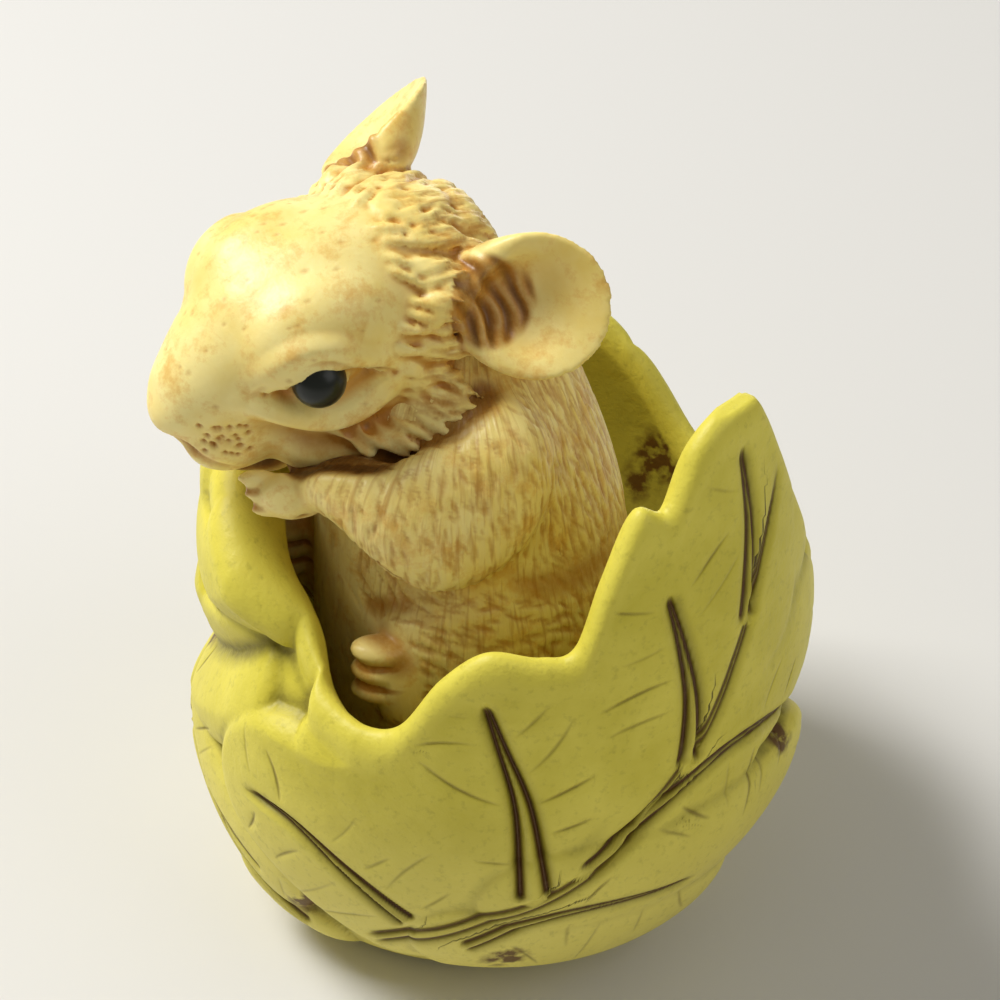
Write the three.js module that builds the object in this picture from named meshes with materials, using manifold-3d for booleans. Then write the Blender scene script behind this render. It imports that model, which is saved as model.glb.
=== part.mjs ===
// A small cast figurine: a baby mouse sitting up in a cup of lobed leaves.
// Millimetres, +Z up. The origin is the centre of the foot, and the mouse faces -Y, so its left is +X.
// The cup and the mouse are two castings, and the eyes are beads set in the head.
import * as THREE from "three";
import { mergeVertices } from "three/addons/utils/BufferGeometryUtils.js";
import Module from "manifold-3d";

const wasm = await Module();
wasm.setup();

// Driving sizes
const mouseHeight = 64; // seat to the tip of the raised ear
const elbowRoom = 6.2; // between the mouse's body and the inside of the cup
const wall = 2.8; // the cup's wall under its leaves
const leafThickness = 2; // how far the front leaf stands out from the wall
const rolledRim = 3.2; // how much thicker the rolled rim of the side leaf is
const creaseDepth = 2.4; // of the fold between the two side leaves
const cupHeight = 55; // foot to the highest lobe
const bellyHeight = 22; // foot to where the cup is widest
const footRadius = 15.5; // the flat that the cup stands on
const floorThickness = 5; // under the mouse
const veinRadius = 0.75; // of the grooves along the veins
const eyeDiameter = 4;
const fitGap = 0.3; // between pieces that touch

// The mouse's proportions are laid out 64 units high from its seat.
const unit = mouseHeight / 64;
const bodyReach = 14.8 * unit;
const innerRadius = bodyReach + elbowRoom;
const wallRadius = innerRadius + wall;
const seatHeight = floorThickness + fitGap;
const eyeRadius = eyeDiameter / 2;
const leafUnit = cupHeight / 55; // the leaves' outlines are laid out for a cup 55 high

const materials = {
  leaf: new THREE.MeshStandardMaterial({ color: 0xc9c24e, roughness: 0.6, metalness: 0 }),
  ivory: new THREE.MeshStandardMaterial({ color: 0xeed890, roughness: 0.5, metalness: 0 }),
  bead: new THREE.MeshStandardMaterial({ color: 0x1b1f20, roughness: 0.12, metalness: 0 }),
};

// Solids: a geometry becomes a closed solid, and solids are joined and cut.
function solidOf(geometry) {
  const bare = geometry.clone();
  bare.deleteAttribute("normal");
  bare.deleteAttribute("uv");
  const merged = mergeVertices(bare, 1e-4);
  return new wasm.Manifold(
    new wasm.Mesh({
      numProp: 3,
      vertProperties: new Float32Array(merged.attributes.position.array),
      triVerts: new Uint32Array(merged.index.array),
    }),
  );
}

function joined(solids) {
  return solids.reduce((whole, piece) => whole.add(piece));
}

function meshOf(solid, name, material) {
  const { vertProperties, triVerts } = solid.getMesh();
  const geometry = new THREE.BufferGeometry();
  geometry.setAttribute("position", new THREE.BufferAttribute(vertProperties, 3));
  geometry.setIndex(new THREE.BufferAttribute(triVerts, 1));
  geometry.computeVertexNormals();
  const mesh = new THREE.Mesh(geometry, material);
  mesh.name = name;
  return mesh;
}

const eulerOf = (degrees) => new THREE.Euler(...degrees.map(THREE.MathUtils.degToRad));

// A sphere reshaped into a closed skin through stations [x, y, z, half width, half depth].
// The squares of the half sizes run smoothly, so an end where they are 0 comes out round.
function loft(stations, across, columns, rows) {
  const line = new THREE.CatmullRomCurve3(stations.map(([x, y, z]) => new THREE.Vector3(x, y, z)));
  const squares = stations.map(([, , , width, depth]) => new THREE.Vector3(width ** 2, depth ** 2, 0));
  const sizes = new THREE.CatmullRomCurve3(squares, false, "catmullrom", 0.5);
  const geometry = new THREE.SphereGeometry(1, columns, rows);
  const position = geometry.attributes.position;
  const point = new THREE.Vector3();
  for (let i = 0; i < position.count; i += 1) {
    point.fromBufferAttribute(position, i);
    const along = THREE.MathUtils.clamp((1 - point.y) / 2, 0, 1);
    const turn = Math.atan2(point.z, point.x);
    const tangent = line.getTangent(along);
    const side = across.clone().addScaledVector(tangent, -across.dot(tangent)).normalize();
    const over = tangent.clone().cross(side);
    const atEnd = along < 1e-6 || along > 1 - 1e-6;
    const size = sizes.getPoint(along);
    const width = atEnd ? 0 : Math.sqrt(Math.max(size.x, 0));
    const depth = atEnd ? 0 : Math.sqrt(Math.max(size.y, 0));
    const placed = line.getPoint(along);
    placed.addScaledVector(side, width * Math.cos(turn));
    placed.addScaledVector(over, depth * Math.sin(turn));
    position.setXYZ(i, placed.x, placed.y, placed.z);
  }
  return geometry;
}

// An ellipsoid of three half sizes, turned and placed.
function ball({ centre, halves, turn = [0, 0, 0] }, columns = 10, rows = 6) {
  const geometry = new THREE.SphereGeometry(1, columns, rows);
  geometry.rotateX(Math.PI / 2);
  const spin = new THREE.Quaternion().setFromEuler(eulerOf(turn));
  geometry.applyMatrix4(
    new THREE.Matrix4().compose(new THREE.Vector3(...centre), spin, new THREE.Vector3(...halves)),
  );
  return geometry;
}

// The same thing on the mouse's other side
const mirrorPoint = ([x, ...rest]) => [-x, ...rest];
const mirrorStations = (stations) => stations.map(mirrorPoint);
const mirrorBall = ({ centre, halves, turn = [0, 0, 0] }) => ({
  centre: mirrorPoint(centre),
  halves,
  turn: [turn[0], -turn[1], -turn[2]],
});

// The cup
// Rim heights as [degrees from +X, share of the cup's height]: the crests and hollows of the lobes.
const rimShape = [
  [-125, 0.75], [-112, 0.75], [-98, 0.72], [-80, 0.65], [-66, 0.59], [-54, 0.56],
  [-44, 0.57], [-36, 0.66], [-28, 0.71], [-18, 0.7], [-12, 0.71], [-7, 0.81],
  [-1, 0.9], [5, 0.89], [11, 0.965], [19, 1], [26, 1], [33, 0.9],
  [41, 0.78], [51, 0.67], [62, 0.6], [75, 0.57], [90, 0.53], [104, 0.5],
  [114, 0.54], [124, 0.64], [135, 0.71], [150, 0.735], [164, 0.7], [176, 0.67],
  [190, 0.69], [206, 0.75], [220, 0.77],
];

// Each leaf is made of lobes, and places are [degrees from +X, share of the cup's height].
// lift is how far the leaf stands out, pillow how far each lobe domes, as shares of leafThickness.
const leaves = [
  {
    lift: 0.2,
    pillow: 0.5,
    midrib: [[-62, 0.08], [-92, 0.2], [-116, 0.38], [-138, 0.6]],
    lobes: [
      { root: [-112, 0.38], tip: [-86, 0.47], half: 6 },
      { root: [-95, 0.26], tip: [-72, 0.17], half: 4.6, vein: true },
      { root: [-78, 0.12], tip: [-62, 0.06], half: 3.4 },
      { root: [-102, 0.27], tip: [-128, 0.16], half: 6 },
      { root: [-118, 0.42], tip: [-150, 0.36], half: 7 },
      { root: [-136, 0.56], tip: [-142, 0.66], half: 5 },
    ],
  },
  {
    lift: 0.15,
    pillow: 0.35,
    midrib: [[-170, 0.14], [-150, 0.36], [-124, 0.56], [-112, 0.62]],
    lobes: [
      { root: [-126, 0.6], tip: [-66, 0.64], half: 3.4 },
      { root: [-136, 0.5], tip: [-124, 0.68], half: 6 },
      { root: [-152, 0.34], tip: [-152, 0.64], half: 7 },
      { root: [-166, 0.18], tip: [-174, 0.5], half: 7 },
    ],
  },
  {
    lift: 0.5,
    pillow: 0.4,
    midrib: [[74, 0.08], [98, 0.2], [126, 0.4], [152, 0.64]],
    lobes: [
      { root: [84, 0.12], tip: [70, 0.4], half: 7 },
      { root: [102, 0.22], tip: [96, 0.42], half: 7, vein: true },
      { root: [124, 0.38], tip: [120, 0.52], half: 6 },
      { root: [142, 0.54], tip: [140, 0.64], half: 6 },
      { root: [104, 0.22], tip: [134, 0.14], half: 6 },
      { root: [126, 0.4], tip: [160, 0.32], half: 7 },
      { root: [142, 0.54], tip: [170, 0.56], half: 6 },
    ],
  },
  {
    lift: 0.5,
    pillow: 0.4,
    midrib: [[-46, 0.16], [-28, 0.25], [-7, 0.36], [8, 0.49], [20, 0.66], [28, 0.84], [31, 0.93]],
    lobes: [
      { root: [6, 0.46], tip: [42, 0.54], half: 6.6 },
      { root: [30, 0.72], tip: [36, 0.72], half: 6 },
    ],
  },
  {
    lift: 0.7,
    pillow: 0.75,
    lobes: [
      { root: [-14, 0.29], tip: [40, 0.28], half: 6.2, vein: true },
      { root: [-28, 0.2], tip: [22, 0.14], half: 4.8, vein: true },
    ],
  },
  {
    lift: 0.8,
    pillow: 0.2,
    lobes: [
      { root: [-38, 0.25], tip: [-66, 0.375], half: 7.5, vein: true },
      { root: [-30, 0.38], tip: [-46, 0.47], half: 8 },
      { root: [-18, 0.31], tip: [-27, 0.63], half: 9, vein: true },
      { root: [7, 0.48], tip: [4, 0.77], half: 10, vein: true },
      { root: [21, 0.68], tip: [20, 0.88], half: 8, vein: true },
      { root: [26, 0.84], tip: [28, 0.92], half: 5 },
    ],
  },
];

const edgeWidth = 1.8; // over which a blade rounds down to what it lies on
const roll = { centre: -94, reach: 54 }; // degrees
const crease = {
  line: [[-136, 0.34], [-118, 0.39], [-105, 0.43], [-90, 0.5], [-78, 0.57], [-58, 0.57]],
  half: 4.6,
};
const flareHeight = 12; // over which the inside follows the rim
const lean = new THREE.Vector2(0.046, 0.1); // how far the mouth is shifted, in shares of the wall's radius
const cupColumns = 72;
const outerRows = 15;
const lipRows = 3;
const innerRows = 3;

const wrapDegrees = (a) => ((((a + 180) % 360) + 360) % 360) - 180;
const { clamp, lerp, smoothstep, degToRad } = THREE.MathUtils;

// The height of the rim at an angle, eased between the points of rimShape.
function rimHeight(degrees) {
  const first = rimShape[0][0];
  const angle = first + ((((degrees - first) % 360) + 360) % 360);
  const points = [...rimShape, [first + 360, rimShape[0][1]]];
  const next = Math.max(1, points.findIndex(([a]) => a > angle));
  const [fromAngle, fromShare] = points[next - 1];
  const [toAngle, toShare] = points[next];
  const part = (angle - fromAngle) / (toAngle - fromAngle);
  return cupHeight * lerp(fromShare, toShare, smoothstep(part, 0, 1));
}

// The wall's own radius at a height, without leaves.
function wallOutside(z) {
  if (z < bellyHeight) {
    const share = 1 - (1 - z / bellyHeight) ** 2;
    return footRadius + (wallRadius - footRadius) * share ** 0.6;
  }
  return wallRadius * (1 - 0.11 * ((z - bellyHeight) / (cupHeight - bellyHeight)) ** 1.4);
}

// The middle of the cup at a height: it leans a little to the back and left.
function cupMiddle(z) {
  return lean.clone().multiplyScalar(wallRadius * smoothstep(z, 0, 30 * leafUnit));
}

// A place [degrees, share] laid out flat, in millimetres around the wall and up it.
const flat = ([degrees, share]) => new THREE.Vector2(degToRad(degrees) * wallRadius, share * cupHeight);

// How far a flat point is inside a lobe: positive inside, negative outside.
function insideLobe(point, { root, tip, half }) {
  const from = flat(root);
  const run = flat(tip).sub(from);
  const turnLength = 2 * Math.PI * wallRadius;
  const away = point.clone().sub(from);
  away.x -= turnLength * Math.round(away.x / turnLength);
  const part = clamp(away.dot(run) / run.lengthSq(), 0, 1);
  return half * leafUnit - away.sub(run.multiplyScalar(part)).length();
}

const rounded = (share) => Math.sqrt(1 - (1 - clamp(share, 0, 1)) ** 2);

// How far the leaves stand out from the wall at an angle and height.
function leafRelief(degrees, z) {
  const point = flat([wrapDegrees(degrees), z / cupHeight]);
  let out = 0;
  for (const { lift, pillow, lobes } of leaves) {
    const insides = lobes.map((lobe) => insideLobe(point, lobe));
    const blade = rounded(Math.max(...insides) / edgeWidth);
    const dome = rounded(Math.max(...insides.map((inside, i) => inside / (lobes[i].half * leafUnit))));
    out = Math.max(out, leafThickness * (lift * blade + pillow * dome));
  }
  return out * smoothstep(z, 0, floorThickness);
}

// How much of the side leaf's rolled rim there is at an angle.
function rollShare(degrees) {
  const around = 1 - clamp(Math.abs(wrapDegrees(degrees - roll.centre)) / roll.reach, 0, 1);
  return smoothstep(around, 0, 0.6);
}

// How deep the crease between the side leaves is at an angle and height.
function creaseAt(degrees, z) {
  const point = flat([wrapDegrees(degrees), z / cupHeight]);
  const insides = crease.line
    .slice(1)
    .map((tip, i) => insideLobe(point, { root: crease.line[i], tip, half: crease.half }));
  return creaseDepth * clamp(Math.max(...insides) / (crease.half * leafUnit), 0, 1) ** 1.3;
}

function cupOutside(degrees, z) {
  return wallOutside(z) + leafRelief(degrees, z) - creaseAt(degrees, z);
}

// The inside backs the crease, and near the rim it follows the leaves outwards and thickens for the roll.
function cupInside(degrees, z) {
  const lipHeight = rimHeight(degrees) - wall;
  const share = smoothstep(z, lipHeight - flareHeight, lipHeight);
  const inwards = Math.max(creaseAt(degrees, z), rolledRim * rollShare(degrees) * share);
  return wallOutside(z) - wall + leafRelief(degrees, lipHeight) * share - inwards;
}

function cupPoint(degrees, radius, z) {
  const angle = degToRad(degrees);
  const middle = cupMiddle(z);
  return new THREE.Vector3(middle.x + radius * Math.cos(angle), middle.y + radius * Math.sin(angle), z);
}

// One section of the cup, from the middle of its underside over the rim to the middle of its floor.
function cupSection(degrees) {
  const lipHeight = rimHeight(degrees) - wall;
  const section = [new THREE.Vector3(0, 0, 0)];
  for (let row = 0; row <= outerRows; row += 1) {
    const z = (lipHeight * row) / outerRows;
    section.push(cupPoint(degrees, cupOutside(degrees, z), z));
  }
  const lipFrom = cupOutside(degrees, lipHeight);
  const lipTo = cupInside(degrees, lipHeight);
  for (let row = 1; row < lipRows; row += 1) {
    const turn = (Math.PI * row) / lipRows;
    const radius = (lipFrom + lipTo) / 2 + ((lipFrom - lipTo) / 2) * Math.cos(turn);
    section.push(cupPoint(degrees, radius, lipHeight + wall * Math.sin(turn)));
  }
  for (let row = 0; row <= innerRows; row += 1) {
    const z = lerp(lipHeight, floorThickness, row / innerRows);
    section.push(cupPoint(degrees, cupInside(degrees, z), z));
  }
  section.push(cupPoint(degrees, 0, floorThickness));
  return section;
}

// A lathe turned on a placeholder profile, each of whose columns is then moved to its own section.
function cupBody() {
  const rows = outerRows + lipRows + innerRows + 3;
  const profile = Array.from({ length: rows }, (_, row) => new THREE.Vector2(1, row));
  const geometry = new THREE.LatheGeometry(profile, cupColumns);
  const position = geometry.attributes.position;
  for (let column = 0; column <= cupColumns; column += 1) {
    const section = cupSection((360 * (column % cupColumns)) / cupColumns);
    section.forEach(({ x, y, z }, row) => position.setXYZ(column * rows + row, x, y, z));
  }
  return solidOf(geometry);
}

// A groove along a vein: a thin tapering skin half sunk in the surface, stepped so that it follows it.
function veinGroove(places, radius, steps) {
  const line = new THREE.SplineCurve(places.map((place) => new THREE.Vector2(...place)));
  const stations = line.getPoints(steps).map((place, i) => {
    const z = place.y * cupHeight;
    const at = cupPoint(place.x, cupOutside(place.x, z) + radius * 0.2, z);
    const size = i === 0 || i === steps ? 0 : radius;
    return [at.x, at.y, at.z, size, size];
  });
  return solidOf(loft(stations, new THREE.Vector3(0.1, 0.2, 1), 4, 2 * steps));
}

const between = (a, b, part) => a.map((value, i) => lerp(value, b[i], part));

function makeCup() {
  const midribs = leaves
    .filter(({ midrib }) => midrib)
    .map(({ midrib }) => veinGroove(midrib, veinRadius * 1.3, 8));
  const sideVeins = leaves
    .flatMap(({ lobes }) => lobes.filter(({ vein }) => vein))
    .map(({ root, tip }) => [0.04, 0.4, 0.9].map((part) => between(root, tip, part)))
    .map((places) => veinGroove(places, veinRadius, 4));
  return cupBody().subtract(joined([...midribs, ...sideVeins]));
}

// The mouse, in units from the middle of its seat
const widthwise = new THREE.Vector3(1, 0, 0);

const bodyStations = [
  [0, 0.5, -4, 0, 0],
  [0, 0.5, 0, 9, 9.5],
  [0, 0.5, 7, 11.5, 12.3],
  [0, 0.3, 15, 12.4, 13.2],
  [0, 0.3, 23, 12, 13],
  [-0.4, 0, 30, 11, 12.4],
  [-1, -0.8, 37, 9.8, 11],
  [-1.6, -2.4, 43, 8, 9.4],
  [-2.4, -4.5, 49, 0, 0],
];

// The left limbs, shoulder to elbow, elbow to wrist
const upperArm = [
  [7.4, 1, 44, 0, 0],
  [8.2, -0.6, 41, 3.4, 4.4],
  [9.2, -2.6, 37.4, 3.8, 5],
  [10.2, -4.8, 34, 3.2, 3.8],
  [10.8, -6.4, 30.9, 0, 0],
];
const forearm = [
  [11, -5.4, 31.2, 0, 0],
  [10.2, -6.8, 33.8, 3.2, 3.6],
  [8.4, -9.4, 37, 3.7, 4],
  [6, -12.2, 38.8, 3, 3],
  [4.2, -14.4, 38.6, 2, 2.2],
  [3.4, -15.6, 38.4, 0, 0],
];
const paw = { centre: [3.2, -15.6, 37.4], halves: [1.9, 2.8, 1.9], turn: [-12, 0, 0] };
const thigh = { centre: [7.6, -2.4, 23.4], halves: [5.4, 8.8, 7.4], turn: [-12, 0, 0] };
const shin = { centre: [9.3, -9.6, 20.6], halves: [2.2, 2.6, 4.8], turn: [8, 0, 0] };
const fingers = {
  first: [2.8, -17.2, 36.6],
  step: [-0.5, -0.2, 0.95],
  halves: [0.85, 1.9, 0.7],
  turn: [-16, 0, 0],
};
const toes = {
  first: [8.6, -11.5, 25],
  step: [0.1, -0.1, -1.75],
  halves: [1.4, 2.3, 0.95],
  turn: [-6, 0, -25],
};
const digits = 3;

// The head, in units from the middle of the skull with the nose towards -Y, then tipped into its pose.
const headMiddle = new THREE.Vector3(-3.8, -8.2, 47.1);
const headTurn = [-4, 12, 10]; // degrees about X, Y and Z

const skull = [
  [0, -16.4, -3.4, 0, 0],
  [0, -15.4, -3.4, 2.4, 2.5],
  [0, -13.2, -2.8, 4, 4.2],
  [0, -10.4, -1.8, 5.6, 6.1],
  [0, -6.6, -0.6, 7.4, 8.2],
  [0, -1.6, 0, 8.6, 9.4],
  [0, 3.6, -0.2, 9, 9.8],
  [0, 8, -0.9, 7.8, 8.6],
  [0, 11.4, -1.8, 4.6, 5],
  [0, 12.8, -2, 0, 0],
];
const headLumps = [
  { centre: [4.4, 1, -6], halves: [4.8, 9.4, 5.9] },
  { centre: [2, -10, -5.6], halves: [2.8, 4.6, 3.8] },
  { centre: [3.4, -3.6, 2.6], halves: [5, 8, 5.9] },
  { centre: [6.9, -6.9, 2.2], halves: [1.6, 3.4, 2.9], turn: [0, 0, -18] },
];
const eyeMiddle = [7.1, -7, 2.3];

// The ear is a flared dish: a profile of [radius, height over the rim's plane], sheared towards its root.
const earProfile = [
  [0, -6.6], [2.6, -6.6], [3.4, -4.2], [5.8, 0],
  [5.4, 0.4], [4, -1], [2.4, -3], [0, -4.2],
];
const ear = {
  middle: [11.2, 8.4, 7],
  root: [6.4, 6.6, 4.6],
  facing: [0.69, -0.44, 0.58],
  sides: 14,
};

// The ruff on the cheek is a row of pointed locks.
const ruff = {
  line: [[8.2, 4, 4.6], [8.8, 5.4, 0], [8, 6.4, -4.6], [5.6, 5.6, -9.6]],
  turn: [-24, 0, -18], // degrees, of a lock that would lie straight back
  locks: 6,
  halves: [1.3, 3, 1.1],
};

const headPose = new THREE.Matrix4().compose(
  headMiddle,
  new THREE.Quaternion().setFromEuler(eulerOf(headTurn)),
  new THREE.Vector3(1, 1, 1),
);

function makeEar(side) {
  const at = (point) => new THREE.Vector3(...(side > 0 ? point : mirrorPoint(point)));
  const middle = at(ear.middle);
  const facing = at(ear.facing).normalize();
  const upright = new THREE.Vector3(0, 0, 1).addScaledVector(facing, -facing.z).normalize();
  const backwards = facing.clone().cross(upright);
  const depth = Math.abs(earProfile[0][1]);
  const axis = middle.clone().sub(at(ear.root)).divideScalar(depth);
  const profile = earProfile.map(([radius, height]) => new THREE.Vector2(radius, height));
  const pose = new THREE.Matrix4().makeBasis(backwards, axis, upright).setPosition(middle);
  return new THREE.LatheGeometry(profile, ear.sides).applyMatrix4(pose);
}

function makeRuff(side) {
  const line = new THREE.CatmullRomCurve3(ruff.line.map((point) => new THREE.Vector3(...point)));
  return Array.from({ length: ruff.locks }, (_, i) => {
    const root = line.getPoint(i / (ruff.locks - 1)).toArray();
    const lock = { centre: root, halves: ruff.halves, turn: ruff.turn };
    const { centre, halves, turn } = side > 0 ? lock : mirrorBall(lock);
    const spin = new THREE.Quaternion().setFromEuler(eulerOf(turn));
    return new THREE.OctahedronGeometry(1).applyMatrix4(
      new THREE.Matrix4().compose(new THREE.Vector3(...centre), spin, new THREE.Vector3(...halves)),
    );
  });
}

function makeHead() {
  const placed = (geometry) => solidOf(geometry.applyMatrix4(headPose));
  const skin = joined([
    placed(loft(skull, widthwise, 16, 11)),
    ...headLumps.flatMap((lump) => [placed(ball(lump)), placed(ball(mirrorBall(lump)))]),
    ...[1, -1].flatMap((side) => [placed(makeEar(side)), ...makeRuff(side).map(placed)]),
  ]);
  const socketRadius = (eyeRadius + fitGap) / unit;
  const sockets = [eyeMiddle, mirrorPoint(eyeMiddle)].map((middle) => {
    const centre = new THREE.Vector3(...middle).applyMatrix4(headPose).toArray();
    return solidOf(ball({ centre, halves: [socketRadius, socketRadius, socketRadius] }, 10, 8));
  });
  return skin.subtract(joined(sockets));
}

// A row of small rounded digits, each a step from the last
function digitRow({ first, step, halves, turn }) {
  return Array.from({ length: digits }, (_, i) => ({
    centre: first.map((value, axis) => value + i * step[axis]),
    halves,
    turn,
  }));
}

function makeMouse() {
  const lofts = [upperArm, forearm].flatMap((stations) => [stations, mirrorStations(stations)]);
  const balls = [paw, thigh, shin].flatMap((form) => [form, mirrorBall(form)]);
  const small = [...digitRow(fingers), ...digitRow(toes)].flatMap((form) => [form, mirrorBall(form)]);
  const whole = joined([
    solidOf(loft(bodyStations, widthwise, 18, 10)),
    ...lofts.map((stations) => solidOf(loft(stations, widthwise, 8, 7))),
    ...balls.map((form) => solidOf(ball(form))),
    ...small.map((form) => solidOf(ball(form, 6, 4))),
    makeHead(),
  ]);
  const underSeat = solidOf(new THREE.BoxGeometry(60, 60, 20).translate(0, 0, -10));
  return whole.subtract(underSeat);
}

function makeEye(middle, name) {
  const centre = new THREE.Vector3(...middle).applyMatrix4(headPose).multiplyScalar(unit);
  const mesh = new THREE.Mesh(new THREE.SphereGeometry(eyeRadius, 10, 6), materials.bead);
  mesh.position.set(centre.x, centre.y, centre.z + seatHeight);
  mesh.name = name;
  return mesh;
}

const figurine = new THREE.Group();
figurine.add(meshOf(makeCup(), "leaf_cup", materials.leaf));
const mouse = meshOf(makeMouse(), "mouse", materials.ivory);
mouse.scale.setScalar(unit);
mouse.position.z = seatHeight;
figurine.add(mouse);
figurine.add(makeEye(eyeMiddle, "left_eye"));
figurine.add(makeEye(mirrorPoint(eyeMiddle), "right_eye"));

export default figurine;
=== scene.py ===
import math

import bmesh
import bpy
import numpy as np
from mathutils import Matrix, Vector
from mathutils.kdtree import KDTree


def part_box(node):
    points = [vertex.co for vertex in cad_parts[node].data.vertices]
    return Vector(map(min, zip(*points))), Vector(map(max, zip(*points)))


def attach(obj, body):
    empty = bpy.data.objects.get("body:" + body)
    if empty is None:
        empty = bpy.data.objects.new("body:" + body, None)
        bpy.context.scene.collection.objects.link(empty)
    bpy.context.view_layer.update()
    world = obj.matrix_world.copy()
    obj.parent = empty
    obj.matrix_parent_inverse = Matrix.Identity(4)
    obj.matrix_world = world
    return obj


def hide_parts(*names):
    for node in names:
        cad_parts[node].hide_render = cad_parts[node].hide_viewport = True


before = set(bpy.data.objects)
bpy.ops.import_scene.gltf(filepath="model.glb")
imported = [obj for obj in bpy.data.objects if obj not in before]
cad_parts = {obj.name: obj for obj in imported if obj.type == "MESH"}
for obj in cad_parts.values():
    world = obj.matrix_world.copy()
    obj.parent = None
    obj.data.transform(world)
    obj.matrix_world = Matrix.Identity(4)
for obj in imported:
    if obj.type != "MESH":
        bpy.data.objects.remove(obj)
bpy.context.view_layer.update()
print("stage: frame loaded")

mm = 0.001
xAxis = np.array([1.0, 0.0, 0.0])


# Numbers in, numbers out

def smoothstep(value, low, high):
    share = np.clip((value - low) / (high - low), 0, 1)
    return share * share * (3 - 2 * share)


def rounded(share):
    return np.sqrt(1 - (1 - np.clip(share, 0, 1)) ** 2)


def unitRows(rows):
    return rows / np.maximum(np.linalg.norm(rows, axis=-1, keepdims=True), 1e-9)


# Distance from points to a line of straight pieces, with how far along it the nearest place is, 0 to 1, and
# which side of the line it is on, 1 or -1, for points on a flat sheet.
def alongLine(points, line, period=None, withSide=False):
    line = np.asarray(line, float)
    lengths = np.linalg.norm(np.diff(line, axis=0), axis=1)
    before = np.concatenate([[0], np.cumsum(lengths)])
    best = np.full(len(points), 1e9)
    share = np.zeros(len(points))
    side = np.ones(len(points))
    for i, length in enumerate(lengths):
        away = points - line[i]
        if period:
            away[:, 0] -= period * np.round(away[:, 0] / period)
        run = line[i + 1] - line[i]
        part = np.clip(away @ run / max(length ** 2, 1e-9), 0, 1)
        distance = np.linalg.norm(away - part[:, None] * run, axis=1)
        nearer = distance < best
        best = np.where(nearer, distance, best)
        share = np.where(nearer, (before[i] + part * length) / before[-1], share)
        if withSide:
            turn = np.where(run[0] * away[:, 1] - run[1] * away[:, 0] < 0, -1, 1)
            side = np.where(nearer, turn, side)
    return (best * side, share) if withSide else (best, share)


# Which points lie in the box round a line, with some reach
def closeTo(points, path, reach):
    low, high = path.min(axis=0) - reach, path.max(axis=0) + reach
    return np.flatnonzero(((points > low) & (points < high)).all(axis=1))


# A line through the given points with rounded bends.
def smoothLine(points, steps=6):
    points = np.asarray(points, float)
    padded = np.vstack([2 * points[0] - points[1], points, 2 * points[-1] - points[-2]])
    line = []
    for i in range(len(points) - 1):
        a, b, c, d = padded[i:i + 4]
        for part in np.arange(steps) / steps:
            line.append(0.5 * (2 * b + (c - a) * part + (2 * a - 5 * b + 4 * c - d) * part ** 2
                               + (3 * b - a - 3 * c + d) * part ** 3))
    line.append(points[-1])
    return np.array(line)


# Meshes

def pointsOf(mesh):
    points = np.empty(len(mesh.vertices) * 3)
    mesh.vertices.foreach_get("co", points)
    return points.reshape(-1, 3) / mm


def setPoints(mesh, points):
    mesh.vertices.foreach_set("co", (points * mm).ravel())
    mesh.update()


def normalsOf(mesh):
    normals = np.empty(len(mesh.vertices) * 3)
    mesh.vertex_normals.foreach_get("vector", normals)
    return normals.reshape(-1, 3)


def trianglesOf(mesh):
    return sum(len(face.vertices) - 2 for face in mesh.polygons)


def setAttribute(mesh, name, values):
    values = np.asarray(values, np.float32)
    kind = "FLOAT" if values.ndim == 1 else "FLOAT_VECTOR"
    attribute = mesh.attributes.new(name, kind, "POINT")
    attribute.data.foreach_set("value" if values.ndim == 1 else "vector", values.ravel())


def newObject(name, mesh):
    piece = bpy.data.objects.new(name, mesh)
    bpy.context.scene.collection.objects.link(piece)
    return piece


def dress(piece, material, node):
    piece.data.materials.clear()
    piece.data.materials.append(material)
    piece.data.shade_smooth()
    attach(piece, "root")
    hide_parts(node)


# Averages each point's values with its neighbours' along the mesh's edges.
class Neighbours:
    def __init__(self, mesh):
        edges = np.empty(len(mesh.edges) * 2, int)
        mesh.edges.foreach_get("vertices", edges)
        self.a, self.b = edges.reshape(-1, 2).T
        self.count = len(mesh.vertices)
        self.degree = np.maximum(self.total(np.ones(self.count)), 1)

    def total(self, values):
        return (np.bincount(self.a, values[self.b], self.count)
                + np.bincount(self.b, values[self.a], self.count))

    def average(self, values):
        if values.ndim == 1:
            return self.total(values) / self.degree
        return np.stack([self.total(column) / self.degree for column in values.T], axis=1)

    def smooth(self, values, rounds, share=0.5):
        strength = np.asarray(share, float)
        if values.ndim == 2 and strength.ndim == 1:
            strength = strength[:, None]
        for _ in range(rounds):
            values = values + strength * (self.average(values) - values)
        return values


# Materials

def hexColour(text):
    channels = [int(text[i:i + 2], 16) / 255 for i in (0, 2, 4)]
    linear = [c / 12.92 if c <= 0.04045 else ((c + 0.055) / 1.055) ** 2.4 for c in channels]
    return (*linear, 1.0)


# Adds a node; n3 is its fourth input, and a node given as an input is linked by its first output.
def addNode(tree, kind, settings=None, **inputs):
    made = tree.nodes.new("ShaderNode" + kind)
    for key, value in (settings or {}).items():
        setattr(made, key, value)
    for key, value in inputs.items():
        socket = made.inputs[int(key[1:])] if key[0] == "n" and key[1:].isdigit() else made.inputs[key]
        if isinstance(value, bpy.types.Node):
            value = value.outputs[0]
        if isinstance(value, bpy.types.NodeSocket):
            tree.links.new(value, socket)
        else:
            socket.default_value = value
    return made


def newMaterial(name, settings):
    material = bpy.data.materials.new(name)
    material.use_nodes = True
    tree = material.node_tree
    shader = tree.nodes["Principled BSDF"]
    for key, value in settings.items():
        shader.inputs[key].default_value = value
    return material, tree, shader


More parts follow.
